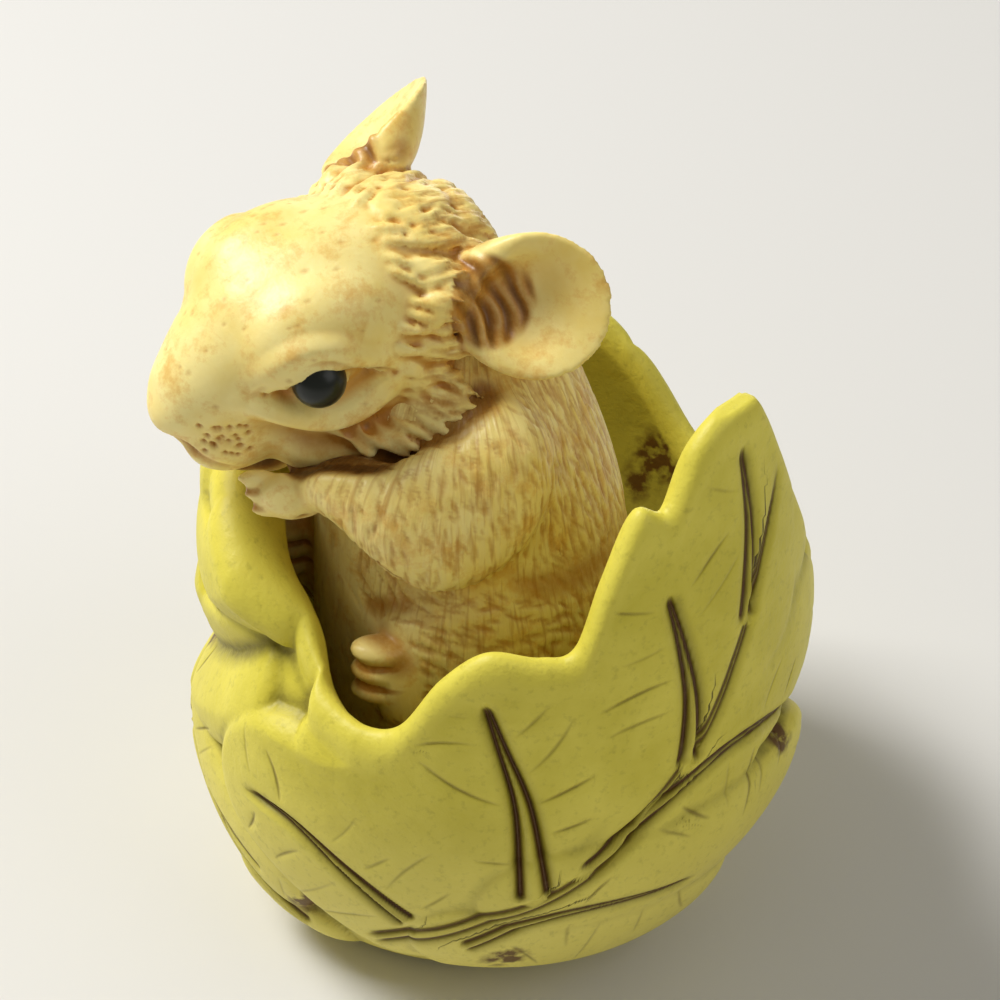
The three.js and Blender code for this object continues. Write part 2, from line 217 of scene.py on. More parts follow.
# Noises by name as (cycles in a millimetre, detail, roughness), and the object's place in millimetres
def grainsOf(tree, grains):
    place = addNode(tree, "TexCoord").outputs["Object"]
    place = addNode(tree, "VectorMath", {"operation": "SCALE"}, n0=place, n3=1 / mm)
    made = {}
    for name, (scale, detail, rough) in grains.items():
        made[name] = addNode(tree, "TexNoise", None, Vector=place, Scale=scale, Detail=detail, Roughness=rough)
    return place, made


# Lays the colours over the base, each as far as its ranges (value, low, high, share at low, share at high)
# allow together, and then the bumps, as (height, millimetres, strength).
def paint(tree, shader, look, layers, bumps):
    tone = hexColour(look["base"])
    for name, *ranges in layers:
        share = None
        for value, low, high, atLow, atHigh in ranges:
            part = addNode(tree, "MapRange", None, n0=value, n1=low, n2=high, n3=atLow, n4=atHigh)
            if share is None:
                share = part
            else:
                share = addNode(tree, "Math", {"operation": "MULTIPLY"}, n0=share, n1=part)
        mixed = addNode(tree, "Mix", {"data_type": "RGBA"}, n0=share, n6=tone, n7=hexColour(look[name]))
        tone = mixed.outputs[2]
    tree.links.new(tone, shader.inputs["Base Color"])
    below = {}
    for height, size, strength in bumps:
        normal = addNode(tree, "Bump", None, Height=height, Distance=size * mm, Strength=strength, **below)
        below = {"Normal": normal}
    tree.links.new(normal.outputs[0], shader.inputs["Normal"])


# The cup of leaves, in the solid's own sizes
cup = {
    "columns": 460,
    "crowding": 0.35,  # how much closer the columns stand on the side with the open leaf
    "outerRows": 172,
    "lipRows": 12,
    "innerRows": 24,
    "wallRadius": 23.8,
    "wall": 2.8,
    "leafThickness": 2.0,
    "rolledRim": 3.2,
    "creaseDepth": 2.4,
    "height": 55.0,
    "bellyHeight": 22.0,
    "footRadius": 15.5,
    "floor": 5.0,
    "edgeWidth": 1.5,
    "flareHeight": 12.0,
    "lean": (0.046, 0.1),
    "branchSpacing": 3.0,  # between the fine cuts that branch off a side vein
}
rimShape = [
    (-125, 0.75), (-112, 0.75), (-98, 0.72), (-80, 0.65), (-66, 0.59), (-54, 0.56),
    (-44, 0.57), (-36, 0.66), (-28, 0.71), (-18, 0.7), (-12, 0.71), (-7, 0.81),
    (-1, 0.9), (5, 0.89), (11, 0.965), (19, 1), (26, 1), (33, 0.9),
    (41, 0.78), (51, 0.67), (62, 0.6), (75, 0.57), (90, 0.53), (104, 0.5),
    (114, 0.54), (124, 0.64), (135, 0.71), (150, 0.735), (164, 0.7), (176, 0.67),
    (190, 0.69), (206, 0.75), (220, 0.77),
]
# Leaves as lift, pillow and lobes (root, tip, half width); places are (degrees, share of the height)
leaves = [
    (0.2, 0.5, [((-112, 0.38), (-86, 0.47), 6), ((-95, 0.26), (-72, 0.17), 4.6),
                ((-78, 0.12), (-62, 0.06), 3.4), ((-102, 0.27), (-128, 0.16), 6),
                ((-118, 0.42), (-150, 0.36), 7), ((-136, 0.56), (-142, 0.66), 5)]),
    (0.15, 0.35, [((-126, 0.6), (-66, 0.64), 3.4), ((-136, 0.5), (-124, 0.68), 6),
                  ((-152, 0.34), (-152, 0.64), 7), ((-166, 0.18), (-174, 0.5), 7)]),
    (0.5, 0.4, [((84, 0.12), (70, 0.4), 7), ((102, 0.22), (96, 0.42), 7),
                ((124, 0.38), (120, 0.52), 6), ((142, 0.54), (140, 0.64), 6),
                ((104, 0.22), (134, 0.14), 6), ((126, 0.4), (160, 0.32), 7),
                ((142, 0.54), (170, 0.56), 6)]),
    (0.5, 0.4, [((6, 0.46), (42, 0.54), 6.6), ((30, 0.72), (36, 0.72), 6)]),
    (0.7, 0.75, [((-14, 0.29), (40, 0.28), 6.2), ((-28, 0.2), (22, 0.14), 4.8)]),
    (0.8, 0.2, [((-38, 0.25), (-66, 0.375), 7.5), ((-30, 0.38), (-46, 0.47), 8),
                ((-18, 0.31), (-27, 0.63), 9), ((7, 0.48), (4, 0.77), 10),
                ((21, 0.68), (20, 0.88), 8), ((26, 0.84), (28, 0.92), 5)]),
]
creaseLine = [(-136, 0.34), (-118, 0.39), (-105, 0.43), (-90, 0.5), (-78, 0.57), (-58, 0.57)]
# Veins from tip to root as (degrees, millimetres up), half width of the rib at the root, depth of the
# grooves beside it, and whether fine cuts branch off
veins = [
    ([(31, 50), (30, 46.5), (25, 41), (20, 35.6), (13, 29.9), (3, 24.2), (-7, 19.5), (-18, 16),
      (-28, 13.7), (-38, 11), (-46, 8.8)], 0.55, 0.5, False),
    ([(-74, 20), (-62, 19.6), (-50, 16.6), (-38, 12.6)], 0.62, 0.8, True),
    ([(-28.5, 36), (-25, 31), (-21.5, 26), (-19, 20.5), (-17.5, 17)], 0.95, 1.05, True),
    ([(3.6, 43), (6.5, 38), (8.5, 32.5), (8, 26.5)], 0.75, 0.85, True),
    ([(20.5, 53), (22.4, 46), (22, 41), (21, 37)], 0.6, 0.7, True),
    ([(42, 23), (22, 25.8), (8, 24.6), (-10, 19)], 0.6, 0.75, True),
    ([(16, 12.9), (-5, 14.6), (-17, 14), (-28, 11)], 0.5, 0.6, True),
    ([(-116, 21.5), (-104, 16.6), (-92, 12), (-78, 8.4), (-62, 5)], 0.6, 0.6, True),
    ([(-72, 9.8), (-82, 11.4), (-92, 12.6)], 0.35, 0.4, False),
    ([(-126, 9), (-116, 12), (-104, 16)], 0.35, 0.4, False),
    ([(152, 35), (140, 28.6), (126, 22), (112, 16.4), (98, 11), (86, 7.4), (74, 4.4)], 0.7, 0.8, True),
    ([(80, 20), (86, 15), (92, 9)], 0.45, 0.5, True),
    ([(98, 25), (102, 21), (108, 15)], 0.45, 0.5, True),
    ([(136, 7.5), (124, 10), (112, 15)], 0.45, 0.5, True),
    ([(160, 18), (146, 20), (132, 24)], 0.45, 0.5, True),
    ([(-112, 34), (-124, 31), (-137, 26), (-150, 20), (-160, 14), (-170, 7.7)], 0.55, 0.6, True),
    ([(-155, 33), (-158, 26), (-156, 17)], 0.4, 0.45, True),
    ([(186, 34), (182, 26), (176, 18), (170, 10)], 0.45, 0.5, True),
    ([(60, 28), (56, 20), (50, 12), (40, 5.5)], 0.45, 0.5, True),
]
# Dark stains where the wash pooled: (degrees, millimetres up, radius), outside and inside
outerStains = [(-55, 32.5, 1.5), (-57, 32.5, 1.2), (-20, 9.4, 1.6), (-62, 8.2, 1.6), (36, 21, 1.2),
               (-112, 22, 1.4)]
innerStains = [(117, 26.3, 2.6), (121, 23.4, 1.6), (110, 15, 2.0)]

period = 2 * math.pi * cup["wallRadius"]


def flat(places):
    places = np.asarray(places, float)
    return np.stack([np.radians(places[..., 0]) * cup["wallRadius"], places[..., 1]], axis=-1)


def shareToHeight(places):
    return [(degrees, share * cup["height"]) for degrees, share in places]


def rimHeight(degrees):
    first = rimShape[0][0]
    angles = np.array([a for a, _ in rimShape] + [first + 360], float)
    shares = np.array([share for _, share in rimShape] + [rimShape[0][1]])
    around = np.concatenate([[angles[-2] - 360], angles, [angles[1] + 360]])
    beyond = np.concatenate([[shares[-2]], shares, [shares[1]]])
    slopes = (beyond[2:] - beyond[:-2]) / (around[2:] - around[:-2])
    angle = first + (degrees - first) % 360
    at = np.clip(np.searchsorted(angles, angle, side="right"), 1, len(angles) - 1)
    gap = angles[at] - angles[at - 1]
    part = (angle - angles[at - 1]) / gap
    share = ((1 + 2 * part) * (1 - part) ** 2 * shares[at - 1] + part ** 2 * (3 - 2 * part) * shares[at]
             + gap * part * (1 - part) * (slopes[at - 1] * (1 - part) - slopes[at] * part))
    return cup["height"] * np.minimum(share, 1)


def wallOutside(z):
    low = 1 - (1 - np.clip(z / cup["bellyHeight"], 0, 1)) ** 2
    below = cup["footRadius"] + (cup["wallRadius"] - cup["footRadius"]) * low ** 0.6
    up = np.clip((z - cup["bellyHeight"]) / (cup["height"] - cup["bellyHeight"]), 0, 2)
    return np.where(z < cup["bellyHeight"], below, cup["wallRadius"] * (1 - 0.11 * up ** 1.4))


def leafRelief(degrees, z):
    points = flat(np.stack([degrees, z], axis=-1))
    out = np.zeros(len(points))
    for lift, pillow, lobes in leaves:
        insides = []
        for root, tip, half in lobes:
            distance, _ = alongLine(points, flat(shareToHeight([root, tip])), period)
            insides.append(half - distance)
        blade = rounded(np.max(insides, axis=0) / cup["edgeWidth"])
        dome = rounded(np.max([inside / lobe[2] for inside, lobe in zip(insides, lobes)], axis=0))
        out = np.maximum(out, cup["leafThickness"] * (lift * blade + pillow * dome))
    return out * smoothstep(z, 0, 5)


def creaseAt(degrees, z):
    points = flat(np.stack([degrees, z], axis=-1))
    distance, _ = alongLine(points, flat(shareToHeight(creaseLine)), period)
    return cup["creaseDepth"] * np.clip(1 - distance / 4.6, 0, 1) ** 1.3


def rollShare(degrees):
    away = np.abs((degrees + 101 + 180) % 360 - 180)
    return smoothstep(1 - np.clip(away / 48, 0, 1), 0, 0.6)


def nearLine(points, line, reach):
    middle = (line.max(axis=0) + line.min(axis=0)) / 2
    away = points - middle
    away[:, 0] -= period * np.round(away[:, 0] / period)
    return np.flatnonzero((np.abs(away) < (line.max(axis=0) - line.min(axis=0)) / 2 + reach).all(axis=1))


# Keeps, for each point, the nearest line's signed distance with its width and strength.
class LineField:
    def __init__(self, count, reach):
        self.reach = reach
        self.side = np.full(count, 9.0)
        self.width = np.zeros(count)
        self.fade = np.zeros(count)

    def add(self, close, side, width, fade):
        nearer = np.abs(side) - width < np.abs(self.side[close]) - self.width[close]
        at = close[nearer]
        self.side[at] = side[nearer]
        self.width[at] = np.broadcast_to(width, side.shape)[nearer]
        self.fade[at] = (fade * (1 - smoothstep(np.abs(side), 0.6 * self.reach, 0.9 * self.reach)))[nearer]


# The carving on the leaves' outside: how high each point lies, and how far it is from a vein or a fine cut
def leafCarving(degrees, z):
    points = flat(np.stack([degrees, z], axis=-1))
    height = np.zeros(len(points))
    vein, cut = LineField(len(points), 2.2), LineField(len(points), 0.75)
    rng = np.random.default_rng(5)
    cuts, taken = [], []
    spines = [smoothLine(flat(places), 6) for places, *_ in veins]
    for places, rib, depth, branches in veins:
        line = smoothLine(flat(places), 6)
        close = nearLine(points, line, 3.2)
        side, share = alongLine(points[close], line, period, True)
        width = rib * (0.05 + 0.92 * share)
        fade = smoothstep(share, 0, 0.1) * (1 - smoothstep(share, 0.97, 1))
        groove = np.exp(-((np.abs(side) - width) / 0.42) ** 2) * fade
        crest = np.exp(-(side / (width + 0.2)) ** 2) * fade
        height[close] += depth * (0.4 * crest * share - 0.72 * groove)
        vein.add(close, side, width, fade * min(1, 0.45 + 0.55 * depth))
        if branches:
            ahead = unitRows(np.gradient(line, axis=0))
            walked = np.concatenate([[0], np.cumsum(np.linalg.norm(np.diff(line, axis=0), axis=1))])
            for run in np.arange(1.0, walked[-1] - 1, cup["branchSpacing"]):
                at = np.searchsorted(walked, run)
                for turn in (1, -1):
                    sideways = turn * np.array([-ahead[at][1], ahead[at][0]])
                    heading = -ahead[at] * rng.uniform(-0.15, 0.6) + sideways
                    heading = unitRows(heading)
                    start = line[at] + heading * rng.uniform(1.2, 2.2)
                    steps = np.linspace(0, rng.uniform(2.6, 6.5), 7)[:, None]
                    across = np.array([-heading[1], heading[0]])
                    stroke = start + heading * steps + across * rng.uniform(-0.07, 0.07) * steps ** 2
                    others = np.vstack([spine for spine in spines if spine[0][0] != line[0][0]] + taken)
                    if np.linalg.norm(stroke[:, None] - others[None], axis=2).min() > 1.4:
                        taken.append(stroke)
                        cuts.append((stroke, rng.uniform(0.35, 1)))
    for line, strength in cuts:
        close = nearLine(points, line, 1.2)
        side, share = alongLine(points[close], line, period, True)
        fade = strength * np.sin(np.pi * share) ** 0.7
        height[close] -= 0.1 * np.exp(-(side / 0.34) ** 2) * fade
        cut.add(close, side, 0.0, fade)
    return height, vein, cut


def makeCup():
    columns = cup["columns"]
    counts = (cup["outerRows"], cup["lipRows"], cup["innerRows"])
    rows = sum(counts) + 3
    work = bmesh.new()
    bmesh.ops.create_grid(work, x_segments=columns, y_segments=rows - 1, size=1.0)
    mesh = bpy.data.meshes.new("leafCup")
    work.to_mesh(mesh)
    work.free()
    at = pointsOf(mesh) * mm
    column = np.round((at[:, 0] + 1) / 2 * columns).astype(int)
    row = np.round((at[:, 1] + 1) / 2 * (rows - 1)).astype(int)
    sweep = np.arange(columns) * 2 * np.pi / columns
    around = np.degrees(sweep - cup["crowding"] * np.sin(sweep + math.radians(25)))
    degrees = around[column % columns]
    lip = rimHeight(degrees) - cup["wall"]
    outerEnd = 1 + counts[0]
    lipEnd = outerEnd + counts[1]
    outer = (row >= 1) & (row <= outerEnd)
    onLip = (row > outerEnd) & (row < lipEnd)
    inner = (row >= lipEnd) & (row < rows - 1)
    z = np.zeros(len(row))
    z[outer] = lip[outer] * (row[outer] - 1) / counts[0]
    z[onLip] = lip[onLip]
    down = (row[inner] - lipEnd) / (rows - 2 - lipEnd)
    z[inner] = lip[inner] + (cup["floor"] - lip[inner]) * down
    z[row == rows - 1] = cup["floor"]
    relief = leafRelief(degrees, z)
    carving, vein, cut = leafCarving(degrees, z)
    ease = smoothstep(lip - z, -0.4, 1.6) * smoothstep(z, 0, 3)
    carving = carving * ease
    crease = creaseAt(degrees, z)
    outside = wallOutside(z) + relief - crease + carving
    flare = smoothstep(z, lip - cup["flareHeight"], lip)
    inwards = np.maximum(crease, cup["rolledRim"] * rollShare(degrees) * flare)
    lipRelief = leafRelief(around, rimHeight(around) - cup["wall"])
    lipRelief = np.mean([np.roll(lipRelief, shift) for shift in range(-12, 13)], axis=0)[column % columns]
    inside = wallOutside(z) - cup["wall"] + lipRelief * flare - inwards
    turn = np.pi * (row - outerEnd) / counts[1]
    half = (outside - inside) / 2
    radius = np.where(inner, inside, outside)
    radius = np.where(onLip, (outside + inside) / 2 + half * np.cos(turn), radius)
    radius = np.where((row == 0) | (row == rows - 1), 0, radius)
    z = z + np.where(onLip, cup["wall"] * np.sin(turn), 0)
    lean = cup["wallRadius"] * smoothstep(np.clip(z, 0, 60), 0, 30)
    angle = np.radians(degrees)
    points = np.stack([cup["lean"][0] * lean + radius * np.cos(angle),
                       cup["lean"][1] * lean + radius * np.sin(angle), z], axis=1)
    setPoints(mesh, points)
    stain = np.zeros(len(row))
    for places, side in ((outerStains, outer), (innerStains, inner)):
        for d, up, size in places:
            spot = flat(np.stack([degrees, z], axis=-1)) - flat((d, up))
            spot[:, 0] -= period * np.round(spot[:, 0] / period)
            near = np.exp(-(np.linalg.norm(spot, axis=1) / size) ** 2)
            stain = np.where(side, np.maximum(stain, near), stain)
    setAttribute(mesh, "vein", np.stack([vein.side, vein.width, vein.fade * ease * outer], axis=1))
    setAttribute(mesh, "cutSide", cut.side)
    setAttribute(mesh, "cutFade", cut.fade * ease * outer)
    setAttribute(mesh, "stain", stain)
    setAttribute(mesh, "inner", inner.astype(float))
    work = bmesh.new()
    work.from_mesh(mesh)
    bmesh.ops.remove_doubles(work, verts=work.verts, dist=2e-6)
    bmesh.ops.recalc_face_normals(work, faces=work.faces)
    work.to_mesh(mesh)
    work.free()
    # Hollows are where a point lies below the average around it
    near = Neighbours(mesh)
    points = pointsOf(mesh)
    wide = near.smooth(points, 40)
    hollow = np.einsum("ij,ij->i", wide - points, normalsOf(mesh))
    setAttribute(mesh, "hollow", near.smooth(hollow, 6))
    clampToSolid(mesh, "leaf_cup")
    return newObject("leafCup", mesh)


# Keeps a piece within the box of the solid that it stands for.
def clampToSolid(mesh, node):
    low, high = (np.array(corner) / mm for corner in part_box(node))
    setPoints(mesh, np.clip(pointsOf(mesh), low, high))


cupPiece = makeCup()
print("stage: cup", trianglesOf(cupPiece.data), "triangles")


# The mouse, in millimetres from the middle of its seat, as on the solid
mouse = {
    "coarse": 0.36,  # point spacing while the forms are blended
    "headSpacing": 0.235,
    "bodySpacing": 0.27,
    "seat": 5.3,
    "headMiddle": (-3.8, -8.2, 47.1),
    "headTurn": (-4, 12, 10),
    "eyeMiddle": (7.1, -7.0, 2.3),
    "eyeRadius": 2.0,
    "seed": 11,
}
bodyStations = [
    (0, 0.5, -4, 0, 0), (0, 0.5, 0, 9, 9.5), (0, 0.5, 7, 11.5, 12.3), (0, 0.3, 15, 12.4, 13.2),
    (0, 0.3, 23, 12, 13), (-0.4, 0, 30, 11, 12.4), (-1, -0.8, 37, 9.8, 11),
    (-1.6, -2.4, 43, 8, 9.4), (-2.4, -4.5, 49, 0, 0),
]
upperArm = [(7.4, 1, 44, 0, 0), (8.2, -0.6, 41, 3.4, 4.4), (9.2, -2.6, 37.4, 3.8, 5),
            (10.2, -4.8, 34, 3.2, 3.8), (10.8, -6.4, 30.9, 0, 0)]
forearm = [(11, -5.4, 31.2, 0, 0), (10.2, -6.8, 33.8, 3.2, 3.6), (8.4, -9.4, 37, 3.7, 4),
           (6, -12.2, 38.8, 3, 3), (4.2, -14.4, 38.6, 2, 2.2), (3.4, -15.6, 38.4, 0, 0)]
# Balls as centre, half sizes and turn in degrees
wrists = ((0.0, -13.9, 38.2), (3.6, 1.8, 1.8), (0, 0, 0))
paw = ((3.2, -15.6, 37.4), (1.9, 2.8, 1.9), (-12, 0, 0))
crook = ((8.9, -6.2, 38.4), (2.9, 4.6, 4.2), (-30, 0, 0))
thigh = ((7.6, -2.4, 23.4), (5.4, 8.8, 7.4), (-12, 0, 0))
shin = ((9.3, -9.6, 20.6), (2.2, 2.6, 4.8), (8, 0, 0))
# Digits as first centre, step to the next, half sizes and turn
fingers = ((3.0, -17.4, 36.5), (-0.6, -0.25, 1.1), (0.72, 1.7, 0.6), (-16, 0, 0))
toes = ((8.7, -11.4, 25), (0.1, -0.1, -1.8), (1.6, 2.4, 0.98), (-6, 0, -25))
skull = [
    (0, -16.4, -3.4, 0, 0), (0, -15.4, -3.4, 2.4, 2.5), (0, -13.2, -2.8, 4, 4.2),
    (0, -10.4, -1.8, 5.6, 6.1), (0, -6.6, -0.6, 7.4, 8.2), (0, -1.6, 0, 8.6, 9.4),
    (0, 3.6, -0.2, 9, 9.8), (0, 8, -0.9, 7.8, 8.6), (0, 11.4, -1.8, 4.6, 5), (0, 12.8, -2, 0, 0),
]
headLumps = [
    ((4.4, 1, -6), (4.8, 9.4, 5.9), (0, 0, 0)),
    ((2, -10, -5.6), (2.8, 4.6, 3.8), (0, 0, 0)),
    ((3.4, -3.6, 2.6), (5, 8, 5.9), (0, 0, 0)),
    ((6.9, -6.9, 2.2), (1.6, 3.4, 2.9), (0, 0, -18)),
    ((6.8, 3.9, 4.9), (2.0, 2.4, 3.2), (0, 0, 0)),
]
# The ear as a dish: profile of (radius, height over the rim's plane), outside first
earProfile = [(0, -6.4), (2.8, -6.2), (4.2, -4.6), (5.0, -2.2), (5.4, -0.2), (5.3, 0.35), (4.8, 0.3),
              (3.9, -0.4), (3.0, -1.8), (1.8, -3.2), (0, -3.8)]
ear = {
    "middle": (11.2, 8.4, 7),
    "root": (6.4, 6.6, 4.6),
    "facing": (0.69, -0.44, 0.58),
    "sink": 0.3,  # how far the front of the left ear's rim bends down into the fur
    "ridgeSpacing": 1.25,
    "ridgeDepth": 0.22,
}
# Rows of pointed locks: the line of their roots, how many, length, half width, where they point and how
# far their tips stand off the skin
lockRows = [
    ([(8.0, -0.8, 5.2), (8.9, -0.4, 2.4), (9.3, -0.2, -0.6), (8.9, -0.6, -3.2)],
     7, 3.0, 0.42, (0, 0.85, -0.45), 0.3),
    ([(6.4, 0.6, 7.0), (8.2, 0.7, 4.8), (9.2, 0.9, 1.8), (9.3, 1.0, -1.4)],
     8, 3.1, 0.46, (0, 0.85, -0.45), 0.42),
    ([(5.2, 1.8, 7.9), (7.0, 1.9, 6.2), (8.7, 2.0, 3.4), (9.2, 2.2, 0.4)],
     9, 3.0, 0.5, (0, 0.9, -0.35), 0.7),
    ([(9.0, 3.6, -0.2), (9.0, 4.2, -2.0), (7.8, 4.0, -6.0), (6.0, 5.2, -9.6)],
     7, 4.2, 0.72, (0, 0.75, -0.6), 0.9),
    ([(6.8, 8.6, -0.4), (6.8, 8.6, -2.4), (5.6, 8.0, -7.2)],
     5, 4.4, 0.8, (0, 0.75, -0.65), 0.8),
    ([(-3.6, 2.2, 8.9), (-1.4, 1.4, 9.3), (1.4, 0.8, 9.3), (4.4, -0.2, 7.9)],
     9, 2.9, 0.38, (0.55, 0.75, 0), 0.12),
    ([(-2.4, 3.6, 9.2), (0.4, 3.0, 9.4), (2.6, 2.4, 9.0), (5.0, 1.2, 7.6)],
     9, 3.1, 0.42, (0.5, 0.8, 0), 0.18),
    ([(-1.8, 5.4, 9.0), (0.6, 4.8, 9.2), (2.6, 4.4, 8.8), (4.8, 3.4, 7.8)],
     8, 3.3, 0.46, (0.45, 0.85, -0.1), 0.24),
    ([(-0.5, 7.4, 8.4), (2.0, 7.2, 8.2), (4.4, 6.2, 7.4)],
     6, 3.6, 0.52, (0.3, 0.9, -0.3), 0.3),
]
# The ruff's large tufts, between a line of roots and a line of tips that overhang the shoulder: layers as
# (shift towards the tips, stand-off, how many)
ruff = {
    "roots": [(9.0, 3.0, 0.6), (9.5, 1.9, -0.8), (9.7, 0.9, -2.0), (9.4, -0.4, -3.2), (8.6, -2.0, -3.9),
              (7.9, -3.8, -4.2)],
    "tips": [(11.8, 5.0, -0.4), (12.7, 4.2, -1.4), (13.4, 2.6, -2.3), (12.9, 1.5, -3.6), (11.5, 0.2, -4.8),
             (9.8, -2.0, -5.4)],
    "half": 0.52,
    "layers": [(0, 0.0, 8), (-0.3, 0.45, 8), (-0.62, 0.6, 8), (-0.95, 0.5, 7)],
}


def catmull(rows, share):
    rows = np.asarray(rows, float)
    padded = np.vstack([2 * rows[0] - rows[1], rows, 2 * rows[-1] - rows[-2]])
    at = np.clip(share, 0, 1) * (len(rows) - 1)
    first = np.minimum(at.astype(int), len(rows) - 2)
    part = (at - first)[:, None]
    a, b, c, d = (padded[first + i] for i in range(4))
    return 0.5 * (2 * b + (c - a) * part + (2 * a - 5 * b + 4 * c - d) * part ** 2
                  + (3 * b - a - 3 * c + d) * part ** 3)


def turned(degrees):
    matrix = Matrix.Identity(3)
    for angle, axis in zip(degrees, "XYZ"):
        matrix = matrix @ Matrix.Rotation(math.radians(angle), 3, axis)
    return np.array(matrix)


headTurn = turned(mouse["headTurn"])
headMiddle = np.array(mouse["headMiddle"]) + [0, 0, mouse["seat"]]
mirrorX = np.array([-1, 1, 1])


def headToWorld(points):
    return np.asarray(points, float) @ headTurn.T + headMiddle


# A place on the head's left, or mirrored to its right where side is -1
def onHeadSide(points, side):
    return headToWorld(np.asarray(points, float) * (mirrorX if side < 0 else 1))


def worldToHead(points):
    return (points - headMiddle) @ headTurn


def seatToWorld(points):
    return np.asarray(points, float) + [0, 0, mouse["seat"]]


# Adds a sphere to the mesh, its points moved by shape(share from pole to pole, turn, point).
def addSkin(work, shape, columns=40, rows=32):
    verts = bmesh.ops.create_uvsphere(work, u_segments=columns, v_segments=rows, radius=1.0)["verts"]
    at = np.array([v.co for v in verts])
    points = shape(np.clip((1 - at[:, 2]) / 2, 0, 1), np.arctan2(at[:, 1], at[:, 0]), at)
    for vert, point in zip(verts, points * mm):
        vert.co = point


def loftShape(stations, side, place):
    stations = np.array(stations, float)
    stations[:, 0] *= side

    def shape(along, turn, _):
        line = catmull(stations[:, :3], along)
        ahead = unitRows(catmull(stations[:, :3], along + 1e-3) - catmull(stations[:, :3], along - 1e-3))
        across = unitRows(xAxis - ahead * (ahead @ xAxis)[:, None])
        over = np.cross(ahead, across)
        sizes = np.sqrt(np.maximum(catmull(stations[:, 3:] ** 2, along), 0))
        sizes[(along < 1e-6) | (along > 1 - 1e-6)] = 0
        return place(line + across * (sizes[:, 0] * np.cos(turn))[:, None]
                     + over * (sizes[:, 1] * np.sin(turn))[:, None])
    return shape


def ballShape(form, side, place):
    centre, halves, turn = (np.array(part, float) for part in form)
    matrix = turned(turn * ([1, 1, 1] if side > 0 else [1, -1, -1]))
    centre[0] *= side
    return lambda along, _, at: place((at * halves) @ matrix.T + centre)


# The ear's own axes in the head: middle of the rim, forwards, upwards, out of the dish, and down to its root
def earFrame(side):
    flip = mirrorX if side < 0 else 1
    middle = np.array(ear["middle"]) * flip
    facing = unitRows(np.array(ear["facing"]) * flip)
    upright = unitRows(np.array([0, 0, 1.0]) - facing * facing[2])
    forwards = np.cross(upright, facing) * side
    if forwards[1] > 0:
        forwards = -forwards
    return middle, forwards, upright, facing, (middle - np.array(ear["root"]) * flip) / 6.6


def earShape(side):
    middle, forwards, upright, facing, axis = earFrame(side)

    def shape(along, turn, _):
        profile = catmull(earProfile, along)
        profile[(along < 1e-6) | (along > 1 - 1e-6), 0] = 0
        ahead = profile[:, 0] * np.cos(turn)
        drop = ear["sink"] * (side > 0) * np.maximum(ahead - 2.2, 0) ** 1.3
        rise = profile[:, 0] * np.sin(turn)
        return headToWorld(middle + forwards * ahead[:, None] + upright * rise[:, None]
                           + axis * profile[:, 1:] - facing * drop[:, None])
    return shape


# A pointed lock of fur from its root to its tip, flatter than it is wide and bowed away from the skin
def lockStations(root, tip, half, normal, bow):
    wide, deep = half * (1 - 0.35 * abs(normal[0])), half * (1 - 0.35 * abs(normal[2]))
    shares = [(-0.3, 0), (-0.08, 0.85), (0.25, 1), (0.6, 0.74), (0.86, 0.36), (1, 0)]
    return [(*(root + (tip - root) * s + normal * bow * 4 * s * (1 - s)), wide * w, deep * w)
            for s, w in shares]


# One closed skin over everything in the mesh, with points evenly spaced
def wrapped(work, spacing, name):
    bmesh.ops.recalc_face_normals(work, faces=work.faces)
    mesh = bpy.data.meshes.new("parts")
    work.to_mesh(mesh)
    work.free()
    parts = newObject("parts", mesh)
    remesh = parts.modifiers.new("skin", "REMESH")
    remesh.mode = "VOXEL"
    remesh.voxel_size = spacing * mm
    bpy.context.view_layer.update()
    skin = bpy.data.meshes.new_from_object(parts.evaluated_get(bpy.context.evaluated_depsgraph_get()))
    bpy.data.objects.remove(parts)
    skin.name = name
    return skin


def softened(mesh, rounds, share=0.5):
    setPoints(mesh, Neighbours(mesh).smooth(pointsOf(mesh), rounds, share))


